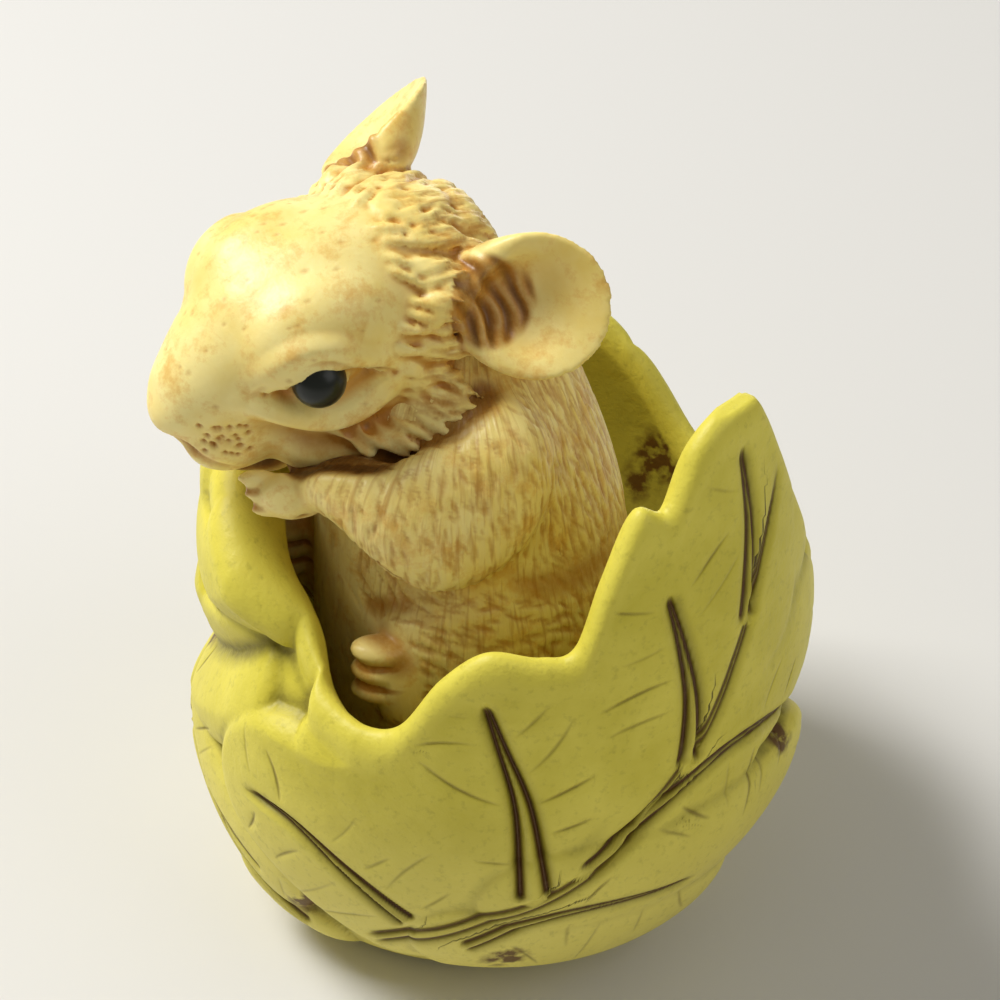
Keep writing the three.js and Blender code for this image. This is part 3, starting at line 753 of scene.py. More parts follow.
def makeHeadSkin():
    work = bmesh.new()
    addSkin(work, loftShape(skull, 1, headToWorld), 72, 64)
    for side in (1, -1):
        for form in headLumps:
            addSkin(work, ballShape(form, side, headToWorld))
    base = wrapped(work, mouse["coarse"], "headBase")
    softened(base, 18)
    rng = np.random.default_rng(mouse["seed"])
    skinPoints = worldToHead(pointsOf(base))
    skinNormals = normalsOf(base) @ headTurn

    def onSkin(place):
        nearest = np.argmin(np.linalg.norm(skinPoints - place, axis=1))
        return skinPoints[nearest], skinNormals[nearest]

    locks = []
    for line, count, length, half, heading, lift in lockRows:
        for root in catmull(line, np.linspace(0, 1, count)):
            root, normal = onSkin(root + rng.normal(0, 0.22, 3))
            bent = np.array(heading) + rng.normal(0, 0.11, 3)
            bent = unitRows(bent - normal * (bent @ normal))
            tip, tipNormal = onSkin(root + bent * length * rng.uniform(0.8, 1.2))
            locks.append((root, tip + tipNormal * lift, half * rng.uniform(0.85, 1.15), normal, 0.1 * length))
    for shift, lift, count in ruff["layers"]:
        shares = np.linspace(0, 1, count)
        for root, tip in zip(catmull(ruff["roots"], shares), catmull(ruff["tips"], shares)):
            run = (tip - root) * rng.uniform(0.88, 1.12)
            start = root + run * shift
            end = root + run * (1 + shift) + rng.normal(0, 0.15, 3) + [lift, 0, 0]
            skinPlace, normal = onSkin(start)
            start = start * 0.6 + skinPlace * 0.4
            locks.append((start, end, ruff["half"] * rng.uniform(0.85, 1.2), normal, 0.35))
    work = bmesh.new()
    work.from_mesh(base)
    for side in (1, -1):
        addSkin(work, earShape(side), 72, 72)
        for lock in locks:
            addSkin(work, loftShape(lockStations(*lock), side, headToWorld), 12, 16)
    skin = wrapped(work, mouse["headSpacing"], "headSkin")
    softened(skin, 2)
    return skin, locks


def makeBodySkin():
    work = bmesh.new()
    addSkin(work, loftShape(bodyStations, 1, seatToWorld), 72, 64)
    for side in (1, -1):
        for stations in (upperArm, forearm):
            addSkin(work, loftShape(stations, side, seatToWorld))
        for form in (crook, thigh, shin, wrists):
            addSkin(work, ballShape(form, side, seatToWorld))
    base = wrapped(work, mouse["coarse"], "bodyBase")
    points = pointsOf(base)
    seat = points - [0, 0, mouse["seat"]]
    mirrored = seat * np.where(seat[:, :1] < 0, mirrorX, 1)
    armpit, _ = alongLine(mirrored, np.array([(8, 3.8, 44), (8.8, 3.4, 38), (8.4, 2.2, 32.5), (9.2, -0.6, 30)]))
    crookLine, _ = alongLine(mirrored, np.array([(10.5, -3, 43), (11.5, -5.5, 37.5), (10, -7, 42)]))
    blend = np.maximum(1 - smoothstep(armpit, 2.4, 5), 1 - smoothstep(crookLine, 2.4, 4.6))
    softened(base, 16)
    softened(base, 90, 0.5 * blend)
    work = bmesh.new()
    work.from_mesh(base)
    for side in (1, -1):
        addSkin(work, ballShape(paw, side, seatToWorld))
        for first, step, halves, turn in (fingers, toes):
            for i in range(3):
                centre = np.array(first) + i * np.array(step)
                addSkin(work, ballShape((centre, halves, turn), side, seatToWorld), 24, 20)
    skin = wrapped(work, mouse["bodySpacing"], "bodySkin")
    softened(skin, 2)
    work = bmesh.new()
    work.from_mesh(skin)
    cut = bmesh.ops.bisect_plane(work, geom=work.verts[:] + work.edges[:] + work.faces[:],
                                 plane_co=(0, 0, mouse["seat"] * mm), plane_no=(0, 0, -1), clear_outer=True)
    rim = [part for part in cut["geom_cut"] if isinstance(part, bmesh.types.BMEdge)]
    bmesh.ops.edgeloop_fill(work, edges=rim)
    work.to_mesh(skin)
    work.free()
    return skin


# Moves points in and out along the surface and keeps how much brown wash, and how much painted shade in the
# recesses, lies on each.
class Carver:
    def __init__(self, mesh):
        self.mesh = mesh
        self.near = Neighbours(mesh)
        self.points = pointsOf(mesh)
        self.washAndShade = np.zeros(len(self.points))
        self.deep = np.zeros(len(self.points))
        self.refresh()

    def refresh(self):
        setPoints(self.mesh, self.points)
        self.normals = normalsOf(self.mesh)
        self.head = worldToHead(self.points)

    def darken(self, values, deep=0.0, near=slice(None)):
        self.washAndShade[near] = np.maximum(self.washAndShade[near], values)
        self.deep[near] = np.maximum(self.deep[near], values * deep)

    # Raises the surface, or presses it in where an amount is below 0.
    def push(self, amounts, near=slice(None)):
        self.points[near] += self.normals[near] * amounts[:, None]

    # Presses (amount below 0) or raises a band along a line, and darkens it: brown wash along the eye's and
    # mouth's lines, painted shade in the jaw's recess.
    def band(self, line, radius, amount, washAndShade=0.0, taper=0.6, washRadius=None, deep=0.0):
        for side in (1, -1):
            path = smoothLine(onHeadSide(line, side))
            near = closeTo(self.points, path, max(radius, washRadius or 0))
            distance, share = alongLine(self.points[near], path)
            ends = np.sin(np.pi * np.clip(share, 0.02, 0.98)) ** taper
            self.push(amount * (1 - smoothstep(distance, 0, radius)) * ends, near)
            self.darken(washAndShade * (1 - smoothstep(distance, 0, washRadius or radius)) * ends, deep, near)

    # Presses or raises round spots.
    def spots(self, centres, radius, amount, washAndShade=0.0):
        for side in (1, -1):
            for centre in centres:
                place = onHeadSide(centre, side)
                nearest = self.points[np.argmin(np.linalg.norm(self.points - place, axis=1))]
                fall = 1 - smoothstep(np.linalg.norm(self.points - nearest, axis=1), 0, radius)
                self.push(amount * fall)
                self.darken(washAndShade * fall)


# Millimetres that the face's features stand up or go in, then their lines in the head's own frame
face = {
    "slitHalf": 2.45,
    "slitDepth": 1.4,
    "browRise": 0.6,
    "ridgeRise": 0.95,
    "underRidgeDepth": 0.6,
    "lidLineDepth": 0.6,
    "underEye": 0.4,
    "pitRows": 4,
    "pitsInRow": 6,
    "pitRadius": 0.4,
    "pitDepth": 0.26,
}
upperLid = [(5.0, -10.9, 0.9), (6.0, -9.7, 3.0), (6.9, -8.3, 4.35), (7.7, -6.4, 4.5),
            (8.3, -4.4, 3.4), (8.6, -1.4, 2.0)]
lowerRidge = [(5.0, -11.8, -0.2), (6.5, -8.6, -1.2), (7.5, -5.6, -1.8), (8.2, -3.0, -0.8), (8.8, -0.6, 1.4)]
underRidge = [(4.8, -11.8, -1.8), (5.9, -9.3, -3.3), (6.8, -6.6, -4.5), (7.9, -4.0, -3.9),
              (8.5, -1.8, -2.3), (8.9, -0.2, -0.4)]
eyeSlit = [(5.5, -10.4, 0.8), (7.4, -6.9, 1.5), (8.5, -2.2, 1.9)]
mouthLine = [(0.3, -15.7, -5.4), (1.8, -14.9, -5.4), (3.2, -13.4, -6.3), (4.2, -11.4, -7.6)]
# Painted shade lies along these two recesses: under the jaw, and between the chin and the forearm.
jawRecess = [(2.2, -10.2, -9.6), (3.4, -7.6, -9.8), (6.0, -5.6, -8.6), (8.0, -2.6, -8.2), (9, 1.0, -8.6)]
armRecess = [(2.6, -9.2, -9.8), (3.6, -7.3, -9.1), (6.8, -6.5, -5.9), (9.8, -4.6, -4.6), (10.6, -0.8, -5.2)]
pitCorners = [(3.4, -14.0, -2.9), (5.4, -10.7, -2.8), (4.6, -10.5, -6.0), (3.0, -13.6, -5.4)]


def carveFace(carver):
    for side in (1, -1):
        distance, share = alongLine(carver.points, smoothLine(onHeadSide(eyeSlit, side)))
        half = face["slitHalf"] * np.sin(np.pi * np.clip(share, 0.03, 0.97)) ** 0.75
        sink = smoothstep(half - distance, -0.1, 0.7)
        carver.push(-face["slitDepth"] * sink)
        carver.darken(0.85 * sink * (1 - smoothstep(share, 0.1, 0.36)))
        carver.darken(0.3 * sink)
    carver.refresh()
    carver.band([(x, y, z + 0.95) for x, y, z in upperLid], 1.5, face["browRise"])
    carver.band(lowerRidge, 1.5, face["ridgeRise"])
    carver.band(underRidge, 2.0, -face["underRidgeDepth"], washAndShade=0.62, washRadius=2.0)
    carver.refresh()
    carver.band(upperLid, 0.55, -face["lidLineDepth"], washAndShade=1.0, washRadius=0.62, taper=0.35, deep=0.6)
    carver.band(mouthLine, 0.7, -0.45, washAndShade=0.9, deep=0.5)
    # Painted shade: the recess under the jaw is pressed in and filled with the darkest brown where shadow
    # falls.
    carver.band(jawRecess, 2.2, -0.7, washAndShade=1.0, washRadius=2.6, taper=0.3, deep=1.0)
    for side in (1, -1):
        eye = onHeadSide(mouse["eyeMiddle"], side)
        away = np.linalg.norm(carver.points - eye, axis=1)
        below = smoothstep(-(carver.head[:, 2] - mouse["eyeMiddle"][2]), -0.2, 0.8)
        carver.push(face["underEye"] * np.exp(-((away - 2.35) / 0.3) ** 2) * below)
    rng = np.random.default_rng(3)
    corners = np.array(pitCorners)
    pits = []
    for i in range(face["pitRows"]):
        for j in range(face["pitsInRow"]):
            u = (j + 0.5 * (i % 2) + rng.uniform(-0.4, 0.4)) / 6
            v = (i + rng.uniform(-0.4, 0.4)) / 3.4
            top = corners[0] * (1 - u) + corners[1] * u
            low = corners[3] * (1 - u) + corners[2] * u
            pits.append(top * (1 - v) + low * v)
    carver.spots(pits, face["pitRadius"], -face["pitDepth"], washAndShade=0.95)
    carver.spots([(4.2, -12.2, -4.2)], 2.6, 0.12, washAndShade=0.22)
    carver.refresh()


# Curved ridges deep in the ear, brown between them
def carveEars(carver):
    for side in (1, -1):
        middle, forwards, upright, facing, _ = earFrame(side)
        place = carver.head - middle
        a, b, out = place @ forwards, place @ upright, place @ facing
        faces = smoothstep(carver.normals @ (headTurn @ facing), -0.1, 0.3)
        within = (np.hypot(a, b) < 6.2) & (out > -4.5) & (out < 1.2)
        hollow = np.hypot((a - 3.6) / 3.9, (b + 0.1) / 3.7)
        hole = (1 - smoothstep(hollow, 0.78, 1.04)) * faces * within
        rings = np.hypot(a - 7.6, (b + 4.2) / 1.15) + 0.12 * np.sin(1.7 * b)
        waves = np.cos(rings * 2 * np.pi / ear["ridgeSpacing"]) * (0.75 + 0.25 * np.sin(0.9 * a + b))
        carver.push(-hole * (0.08 + ear["ridgeDepth"] * waves))
        carver.darken(hole * (0.8 + 0.2 * waves))
        carver.deep = np.maximum(carver.deep, hole * (0.3 + 0.45 * waves))
    carver.refresh()
    carver.spots([(6.2, 7.1, 8.7), (6.4, 5.0, 7.3), (7.7, 3.8, 6.6)], 1.7, 0, washAndShade=0.6)


# Which way the fur lies
def furFlow(carver, onHead):
    head, points = carver.head, carver.points
    if onHead:
        cheek = smoothstep(-head[:, 2], -4, 8)
        lie = np.stack([0.15 * np.sign(head[:, 0]) * cheek, 0.95 - 0.2 * cheek, -0.1 - 0.62 * cheek], axis=1)
        return unitRows(lie @ headTurn.T)
    haunch = smoothstep(-points[:, 2], -38, -33) * smoothstep(-points[:, 1], -8, 0)
    lie = np.stack([np.zeros(len(haunch)), 0.12 + 1.0 * haunch, -0.95 + 0.35 * haunch], axis=1)
    return unitRows(lie)


def furMask(carver, onHead):
    head = carver.head
    bare = np.zeros(len(head))
    if onHead:
        for side in (1, -1):
            middle, _, _, facing, _ = earFrame(side)
            place = head - middle
            near = 1 - smoothstep(np.linalg.norm(place, axis=1), 5.8, 6.6)
            bare = np.maximum(bare, near * (place @ facing > -4.6))
        return smoothstep(head[:, 1] + 0.3 * (5 - head[:, 2]), 0.2, 4.5) * (1 - bare)
    seat = carver.points - [0, 0, mouse["seat"]]
    mirrored = seat * np.where(seat[:, :1] < 0, mirrorX, 1)
    for centre, size in (((2.6, -17, 37.4), 4.6), ((8.8, -12.4, 23.2), 4.8)):
        bare = np.maximum(bare, 1 - smoothstep(np.linalg.norm(mirrored - centre, axis=1), size - 1, size))
    return 1 - bare


# Cuts strokes of fur. Each set is region, spacing, shortest and longest, half width, depth and wash.
def carveFur(carver, sets, onHead):
    rng = np.random.default_rng(mouse["seed"])
    mask = furMask(carver, onHead)
    flow = furFlow(carver, onHead)
    tree = KDTree(len(carver.points))
    for i, point in enumerate(carver.points):
        tree.insert(point, i)
    tree.balance()
    carve = np.zeros(len(carver.points))
    washAndShade = np.zeros(len(carver.points))
    for region, spacing, (shortest, longest), half, depth, dark in sets:
        candidates = np.flatnonzero(region & (mask > 0.15))
        rng.shuffle(candidates)
        cells = np.floor(carver.points[candidates] / [spacing, spacing, spacing * 1.5]).astype(int)
        _, first = np.unique(cells, axis=0, return_index=True)
        for start in candidates[np.sort(first)]:
            length = rng.uniform(shortest, longest)
            steps = max(4, int(length / 0.35))
            bend = rng.normal(0, 0.04)
            size = half * rng.uniform(0.8, 1.2)
            deep = depth * rng.uniform(0.6, 1.2)
            place = Vector(carver.points[start])
            at = start
            skew = rng.normal(0, 0.2)
            for step in range(steps):
                share = (step + 0.5) / steps
                taper = math.sin(math.pi * share ** 0.8)
                strength = taper * min(1, mask[at] * 1.4)
                for _, index, distance in tree.find_range(place, size * (0.6 + 0.4 * taper)):
                    fall = 1 - (distance / size) ** 2
                    carve[index] = max(carve[index], deep * strength * fall)
                    washAndShade[index] = max(washAndShade[index], dark * strength * fall)
                skew += bend
                normal = carver.normals[at]
                ahead = flow[at] - normal * (flow[at] @ normal)
                ahead = ahead + skew * np.cross(normal, ahead)
                ahead /= max(np.linalg.norm(ahead), 1e-6)
                ahead = place + Vector(ahead * 0.35)
                _, at, _ = tree.find(ahead)
                gap = (ahead - Vector(carver.points[at])).dot(Vector(carver.normals[at]))
                place = ahead - Vector(carver.normals[at]) * gap
    carver.push(-carve)
    carver.darken(washAndShade)
    carver.refresh()
    return mask


def finishSkin(carver, mask, onHead, name):
    carver.refresh()
    wide = carver.near.smooth(carver.points, 24)
    hollow = np.einsum("ij,ij->i", wide - carver.points, carver.normals)
    place = carver.head if onHead else carver.points
    # Round the head's and the body's middle as millimetres of skin, and along them
    if onHead:
        angle, along = np.arctan2(place[:, 2], place[:, 0]) * 9, place[:, 1] + 40
    else:
        angle, along = np.arctan2(place[:, 1], place[:, 0]) * 13, place[:, 2]
    skin = carver.mesh
    setAttribute(skin, "washAndShade", carver.washAndShade)
    setAttribute(skin, "deep", carver.deep)
    setAttribute(skin, "hollow", carver.near.smooth(hollow, 1))
    setAttribute(skin, "fur", mask)
    setAttribute(skin, "grain", np.stack([along, angle, np.full(len(along), 20.0 * onHead)], axis=1))
    clampToSolid(skin, "mouse")
    print("stage:", name, trianglesOf(skin), "triangles")
    return newObject(name, skin)


def makeHead():
    skin, locks = makeHeadSkin()
    carver = Carver(skin)
    carveFace(carver)
    carveEars(carver)
    # Brown lies between the locks
    mirrored = carver.head * np.where(carver.head[:, :1] < 0, mirrorX, 1)
    zone = np.zeros(len(mirrored))
    for root, tip, *_ in locks:
        near = closeTo(mirrored, np.array([root, tip]), 1.8)
        distance, _ = alongLine(mirrored[near], [root, tip])
        zone[near] = np.maximum(zone[near], 1 - smoothstep(distance, 0.9, 1.8))
    wide = carver.near.smooth(carver.points, 9)
    between = np.einsum("ij,ij->i", wide - carver.points, carver.normals)
    carver.darken(zone * smoothstep(between, 0.0, 0.12))
    carver.deep = np.maximum(carver.deep, 0.8 * zone * smoothstep(between, 0.08, 0.24))
    x, y, z = carver.head.T
    sets = [
        ((y > -1) & (z < 6), 1.05, (1.8, 3.6), 0.32, 0.2, 0.62),
        ((y > -2) & (z >= 4), 1.1, (1.4, 2.8), 0.3, 0.14, 0.55),
    ]
    mask = carveFur(carver, sets, True)
    rng = np.random.default_rng(8)
    flecks = np.flatnonzero((y < 3) & (y > -15) & (z > -1) & (carver.washAndShade < 0.1))
    for start in rng.choice(flecks, 60):
        distance = np.linalg.norm((carver.points - carver.points[start]) @ headTurn * [1, 0.6, 1], axis=1)
        fall = 1 - smoothstep(distance, 0, rng.uniform(0.25, 0.45))
        carver.push(-0.04 * fall)
        carver.darken(0.4 * fall)
    carver.darken(0.3 * smoothstep(y, 2.5, 7) * (1 - smoothstep(z, 0, 5)))
    return finishSkin(carver, mask, True, "mouseHead")


# Painted shade on the body, where shadow falls in the recesses, as line, radius, how far it is pressed in, wash
# and dark share:
# under the chin, below the arm's edge, between arm and haunch, above the thigh and under the ruff
bodyShadows = [
    ([(4.2, -14.8, 45.8), (6.9, -11.8, 46.5), (7.6, -9.0, 45.6), (7.8, -5.8, 45.7), (9, -3.6, 46.4)],
     1.6, 0.4, 1.0, 1.0),
    ([(5.0, -15.6, 41.2), (7.0, -13.8, 40.8), (9.6, -11.8, 39.6), (11.2, -9.4, 36.8), (11.4, -6.2, 34.8),
      (12.2, -4.0, 36.2), (12.4, -1.9, 38.2)],
     1.1, 0.35, 0.9, 0.5),
    ([(12.9, -3.6, 37), (11.6, 1, 34.2), (9.6, 6, 33.2), (4, 11, 33)],
     2.2, 0.15, 0.6, 0.0),
    ([(5.4, -10.4, 32.0), (7.4, -9.2, 33.0), (9.6, -7.6, 32.8)],
     1.5, 0.15, 0.7, 0.2),
    ([(0.0, -15.2, 43.8), (2.2, -15.4, 44.2), (4.2, -14.8, 45.2)],
     1.4, 0.0, 1.0, 0.9),
    ([(6.3, -1.8, 49), (7.0, -3.0, 48), (7.4, -5.0, 46.6), (5.1, -7.9, 45.6)],
     2.6, 0.2, 0.9, 0.7),
]


def makeBody():
    carver = Carver(makeBodySkin())
    x, y, z = carver.points.T
    for side in (1, -1):
        # Painted shade in the recess between the jaw and the forearm and along the body's shadow lines: pressed
        # in and darkened with the wash and deep browns.
        recess = onHeadSide(armRecess, side)
        lines = [(np.array(line) * [side, 1, 1], *rest) for line, *rest in bodyShadows]
        for line, radius, press, washAndShade, deep in [(recess, 2.6, 0.5, 1.0, 0.9)] + lines:
            path = smoothLine(line, 4)
            near = closeTo(carver.points, path, radius)
            distance, _ = alongLine(carver.points[near], path)
            fall = 1 - smoothstep(distance, 0.15 * radius, radius)
            carver.push(-press * fall, near)
            carver.darken(washAndShade * fall, deep, near)
        foot = np.array([(7.6, -11.6, 31.6), (10.4, -10.4, 29.8)]) * [side, 1, 1]
        distance, _ = alongLine(carver.points, foot)
        carver.darken(0.7 * (1 - smoothstep(distance, 0.2, 1.8)))
    # Brown lies between the digits
    for first, step, halves, _ in (fingers, toes):
        for i in range(2):
            for side in (1, -1):
                gap = seatToWorld((np.array(first) + (i + 0.5) * np.array(step)) * [side, 1, 1])
                away = (carver.points - gap) / [halves[0] * 1.5, halves[1] * 1.1, 0.42]
                carver.darken(0.95 * (1 - smoothstep(np.linalg.norm(away, axis=1), 0.6, 1.2)))
    carver.refresh()
    arm = (z > 34.5) & (y < 2)
    belly = (np.abs(x) < 6.4 - 0.16 * (z - 20)) & (y < -4) & (z < 41)
    sets = [
        (arm & ~belly, 1.15, (1.4, 2.6), 0.28, 0.17, 0.5),
        ((z > 34.5) & ~arm, 1.1, (2.4, 5.0), 0.28, 0.18, 0.55),
        ((z <= 34.5) & (z > 12) & ~belly, 1.15, (1.8, 3.6), 0.29, 0.2, 0.6),
        (belly & (z > 12), 1.5, (2.0, 4.0), 0.27, 0.07, 0.22),
    ]
    mask = carveFur(carver, sets, False)
    front = smoothstep(6.4 - 0.16 * (z - 20) - np.abs(x), -1.5, 1) * smoothstep(-4 - y, -1.5, 1) * (z < 43)
    mask = mask * (1 - 0.75 * front)
    return finishSkin(carver, mask, False, "mouseBody")


headPiece = makeHead()
bodyPiece = makeBody()


# The eyes are round beads, ground glossy
def makeEye(side, name):
    mesh = bpy.data.meshes.new(name)
    work = bmesh.new()
    bmesh.ops.create_uvsphere(work, u_segments=48, v_segments=32, radius=mouse["eyeRadius"] * mm)
    middle = onHeadSide(mouse["eyeMiddle"], side)
    bmesh.ops.translate(work, verts=work.verts, vec=Vector(middle * mm))
    work.to_mesh(mesh)
    work.free()
    return newObject(name, mesh)


leftEye = makeEye(1, "leftEyeBead")
rightEye = makeEye(-1, "rightEyeBead")


# Cast resin full of marble powder, stained yellow-green: matt, with the stain thin on the crests, olive in
# the hollows and wiped back dark brown in the cut veins.
leafLook = {
    "crest": "E0D352",
    "base": "CBBE38",
    "olive": "857A22",
    "vein": "593810",
    "stain": "54290A",
    "inside": "B0A436",
    "low": "E4D66C",
    "roughness": 0.5,
}


def leafMaterial():
    material, tree, shader = newMaterial("leafStainedResin", {
        "Roughness": leafLook["roughness"], "Specular IOR Level": 0.35, "Subsurface Weight": 0.05,
        "Subsurface Radius": (0.0012, 0.001, 0.0004), "Subsurface Scale": 1.0})
    # Uneven stain 9 mm wide, specks of under a millimetre, the cast skin's waves of 2 mm, and the powder's
    # grain, which is too fine to see and so is drawn at 0.3 mm
    place, grain = grainsOf(tree, {
        "patches": (0.11, 4.0, 0.6), "fine": (1.4, 5.0, 0.65), "specks": (0.9, 4.0, 0.5),
        "waves": (0.55, 4.0, 0.5), "powder": (3.5, 3.0, 0.5)})
    hollow, inner, stain, cutSide, cutFade = (
        addNode(tree, "Attribute", {"attribute_name": name}).outputs["Fac"]
        for name in ("hollow", "inner", "stain", "cutSide", "cutFade"))
    vein = addNode(tree, "Attribute", {"attribute_name": "vein"}).outputs["Vector"]
    veinSide, veinWidth, veinFade = addNode(tree, "SeparateXYZ", None, n0=vein).outputs
    beside = addNode(tree, "Math", {"operation": "ABSOLUTE"}, n0=veinSide)
    beside = addNode(tree, "Math", {"operation": "SUBTRACT"}, n0=beside, n1=veinWidth)
    reach = addNode(tree, "Math", {"operation": "MULTIPLY_ADD"}, n0=veinWidth, n1=0.14, n2=0.15)
    # How deep in a cut a place lies: 1 in the middle, falling away in a bell over the reach
    depths = []
    for side, over, fade in ((beside, reach, veinFade), (beside, 0.62, veinFade), (cutSide, 0.13, cutFade)):
        share = addNode(tree, "Math", {"operation": "DIVIDE"}, n0=side, n1=over)
        share = addNode(tree, "Math", {"operation": "MULTIPLY"}, n0=share, n1=share)
        share = addNode(tree, "Math", {"operation": "MULTIPLY"}, n0=share, n1=-1.0)
        share = addNode(tree, "Math", {"operation": "EXPONENT"}, n0=share)
        depths.append(addNode(tree, "Math", {"operation": "MULTIPLY"}, n0=share, n1=fade))
    groove, halo, fineCut = depths
    sunk, sunkCut = (addNode(tree, "Math", {"operation": "MULTIPLY"}, n0=depth, n1=-1.0)
                     for depth in (groove, fineCut))
    upwards = addNode(tree, "SeparateXYZ", None, n0=place).outputs[2]
    spot = addNode(tree, "MapRange", None, n0=grain["specks"], n1=0.3, n2=0.6)
    spot = addNode(tree, "Math", {"operation": "MULTIPLY"}, n0=stain, n1=spot)
    paint(tree, shader, leafLook, [
        ("crest", (grain["patches"], 0.35, 0.7, 0.0, 1.0)),
        ("low", (upwards, 27.0, 12.0, 0.0, 0.85)),
        ("crest", (hollow, -0.02, -0.3, 0.0, 0.6)),
        ("olive", (hollow, 0.0, 0.26, 0.0, 1.0), (grain["fine"], 0.3, 0.6, 0.7, 1.0)),
        ("inside", (inner, 0.0, 1.0, 0.0, 0.7)),
        ("olive", (grain["fine"], 0.54, 0.74, 0.0, 0.3)),
        ("olive", (halo, 0.0, 1.0, 0.0, 0.55)),
        ("vein", (fineCut, 0.0, 1.0, 0.0, 0.6)),
        ("vein", (groove, 0.12, 0.8, 0.0, 1.0), (grain["fine"], 0.2, 0.45, 0.82, 1.0)),
        ("stain", (spot, 0.12, 0.6, 0.0, 0.9)),
    ], [(grain["waves"], 0.25, 0.5), (sunk, 0.35, 0.9), (sunkCut, 0.14, 0.9), (grain["powder"], 0.05, 0.6)])
    return material


# The same resin left ivory, satin, with a brown wash rubbed into the cut fur and wiped off the high places, and
# the same browns painted as shade in the recesses under the chin, below the arms and under the ruff.
ivoryLook = {
    "pale": "FCE999",
    "base": "F3D673",
    "warm": "DDA23A",
    "washAndShade": "B3731C",
    "deep": "4F2E0E",
    "roughness": 0.4,
}


def ivoryMaterial():
    material, tree, shader = newMaterial("ivoryWashedResin", {
        "Roughness": ivoryLook["roughness"], "Specular IOR Level": 0.4, "Subsurface Weight": 0.06,
        "Subsurface Radius": (0.0012, 0.0009, 0.0005), "Subsurface Scale": 1.0})
    # Wash wiped unevenly over 6 mm, blots of 2.4 mm, specks of under a millimetre, and the powder's grain,
    # which is too fine to see and so is drawn at 0.45 mm
    _, grain = grainsOf(tree, {"patches": (0.16, 4.0, 0.6), "fine": (1.6, 5.0, 0.65), "blots": (0.42, 5.0, 0.7),
                               "powder": (2.2, 3.0, 0.5)})
    fur, hollow, washAndShade, deep = (addNode(tree, "Attribute", {"attribute_name": name}).outputs["Fac"]
                               for name in ("fur", "hollow", "washAndShade", "deep"))
    # Hairs of half a millimetre, drawn out along the body
    lie = addNode(tree, "Attribute", {"attribute_name": "grain"}).outputs["Vector"]
    lie = addNode(tree, "VectorMath", {"operation": "MULTIPLY"}, n0=lie, n1=(0.3, 2.2, 1.0))
    strands = addNode(tree, "TexNoise", None, Vector=lie, Scale=1.0, Detail=2.0, Roughness=0.5)
    hairs = addNode(tree, "Math", {"operation": "MULTIPLY"}, n0=strands, n1=fur)
    dark = addNode(tree, "MapRange", None, n0=grain["fine"], n1=0.25, n2=0.5, n3=0.8, n4=1.0)
    dark = addNode(tree, "Math", {"operation": "MULTIPLY"}, n0=deep, n1=dark)
    paint(tree, shader, ivoryLook, [
        ("pale", (grain["patches"], 0.3, 0.62, 0.0, 1.0)),
        ("warm", (grain["blots"], 0.5, 0.68, 0.0, 0.6)),
        ("warm", (hollow, 0.0, 0.22, 0.0, 0.85)),
        ("washAndShade", (strands, 0.52, 0.7, 0.0, 0.5), (fur, 0.0, 1.0, 0.0, 1.0)),
        # These two layers carry the brown wash and also the painted shade in the recesses.
        ("washAndShade", (washAndShade, 0.08, 0.75, 0.0, 0.88), (grain["fine"], 0.25, 0.55, 0.75, 1.0)),
        ("deep", (dark, 0.2, 0.9, 0.0, 0.9)),
    ], [(hairs, 0.16, 0.7), (grain["powder"], 0.05, 0.5)])
    return material


# Black glass beads, moulded and fire polished: one clear highlight, with a haze of handling over the rest.
beadLook = {"colour": "1A1E18", "roughness": 0.3}


def beadMaterial():
    return newMaterial("blackGlassBead", {
        "Base Color": hexColour(beadLook["colour"]), "Roughness": beadLook["roughness"],
        "Specular IOR Level": 0.35})[0]


ivory = ivoryMaterial()
bead = beadMaterial()
dress(cupPiece, leafMaterial(), "leaf_cup")
dress(headPiece, ivory, "mouse")
dress(bodyPiece, ivory, "mouse")
dress(leftEye, bead, "left_eye")
dress(rightEye, bead, "right_eye")
print("stage: materials")


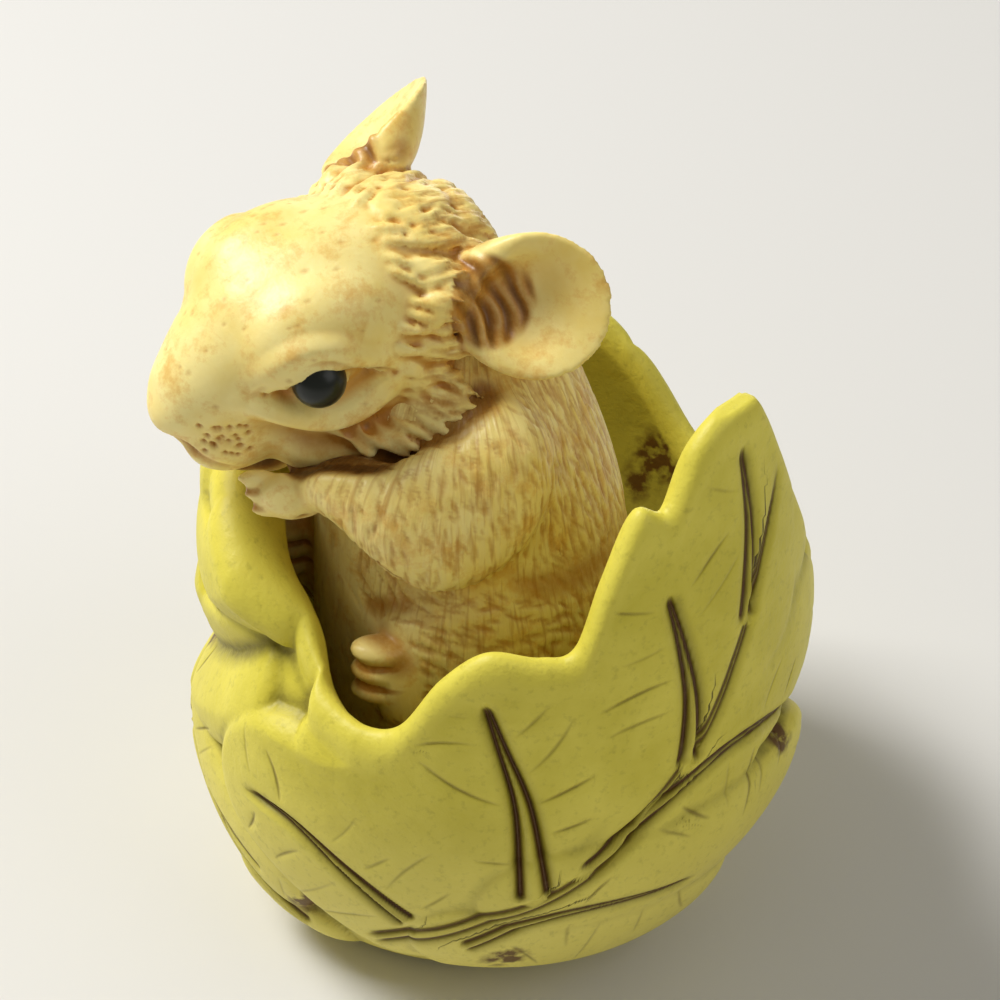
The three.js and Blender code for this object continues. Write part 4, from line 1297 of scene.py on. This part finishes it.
# A pale floor, soft light and a camera at the picture's angle
studio = {
    "floorSize": 3.0,
    "floorColour": "D8D6D1",
    "azimuth": 65,
    "elevation": 37,
    "distance": 200,
    "target": (1.0, 2.2, 35.0),
    "lens": 91.15,
    "skyColour": "F0EDE6",
    "skyStrength": 0.28,
    # Lamps as (name, metres to the right, up and back from the object, size, watts)
    "lamps": [
        ("keyLight", (-0.38, 0.5, 0.22), 0.26, 5.0),
        ("fillLight", (0.5, 0.2, 0.45), 0.5, 0.9),
        ("rimLight", (0.15, 0.35, -0.5), 0.4, 1.2),
    ],
}


def makeStudio():
    mesh = bpy.data.meshes.new("floor")
    work = bmesh.new()
    bmesh.ops.create_grid(work, x_segments=1, y_segments=1, size=studio["floorSize"] / 2)
    work.to_mesh(mesh)
    work.free()
    floor = newObject("floor", mesh)
    material = newMaterial("paleFloor", {"Base Color": hexColour(studio["floorColour"]), "Roughness": 0.8})[0]
    mesh.materials.append(material)
    azimuth, elevation = math.radians(studio["azimuth"]), math.radians(studio["elevation"])
    back = Vector((math.sin(azimuth) * math.cos(elevation), -math.cos(azimuth) * math.cos(elevation),
                   math.sin(elevation)))
    right = Vector((math.cos(azimuth), math.sin(azimuth), 0))
    up = back.cross(right)
    target = Vector(studio["target"]) * mm
    data = bpy.data.cameras.new("camera")
    data.lens = studio["lens"]
    data.sensor_width = 36
    data.clip_start = 0.01
    camera = newObject("camera", data)
    camera.matrix_world = Matrix.Translation(target + back * studio["distance"] * mm) @ Matrix(
        (right, up, back)).transposed().to_4x4()
    bpy.context.scene.camera = camera
    for name, (toRight, toUp, toBack), size, watts in studio["lamps"]:
        lamp = bpy.data.lights.new(name, "AREA")
        lamp.size = size
        lamp.energy = watts
        light = newObject(name, lamp)
        light.location = target + right * toRight + up * toUp + back * toBack
        light.rotation_euler = (target - light.location).to_track_quat("-Z", "Y").to_euler()
    world = bpy.data.worlds.new("softRoom")
    world.use_nodes = True
    sky = world.node_tree.nodes["Background"]
    sky.inputs["Color"].default_value = hexColour(studio["skyColour"])
    sky.inputs["Strength"].default_value = studio["skyStrength"]
    bpy.context.scene.world = world
    bpy.context.scene.view_settings.view_transform = "Standard"


makeStudio()
print("stage: studio")
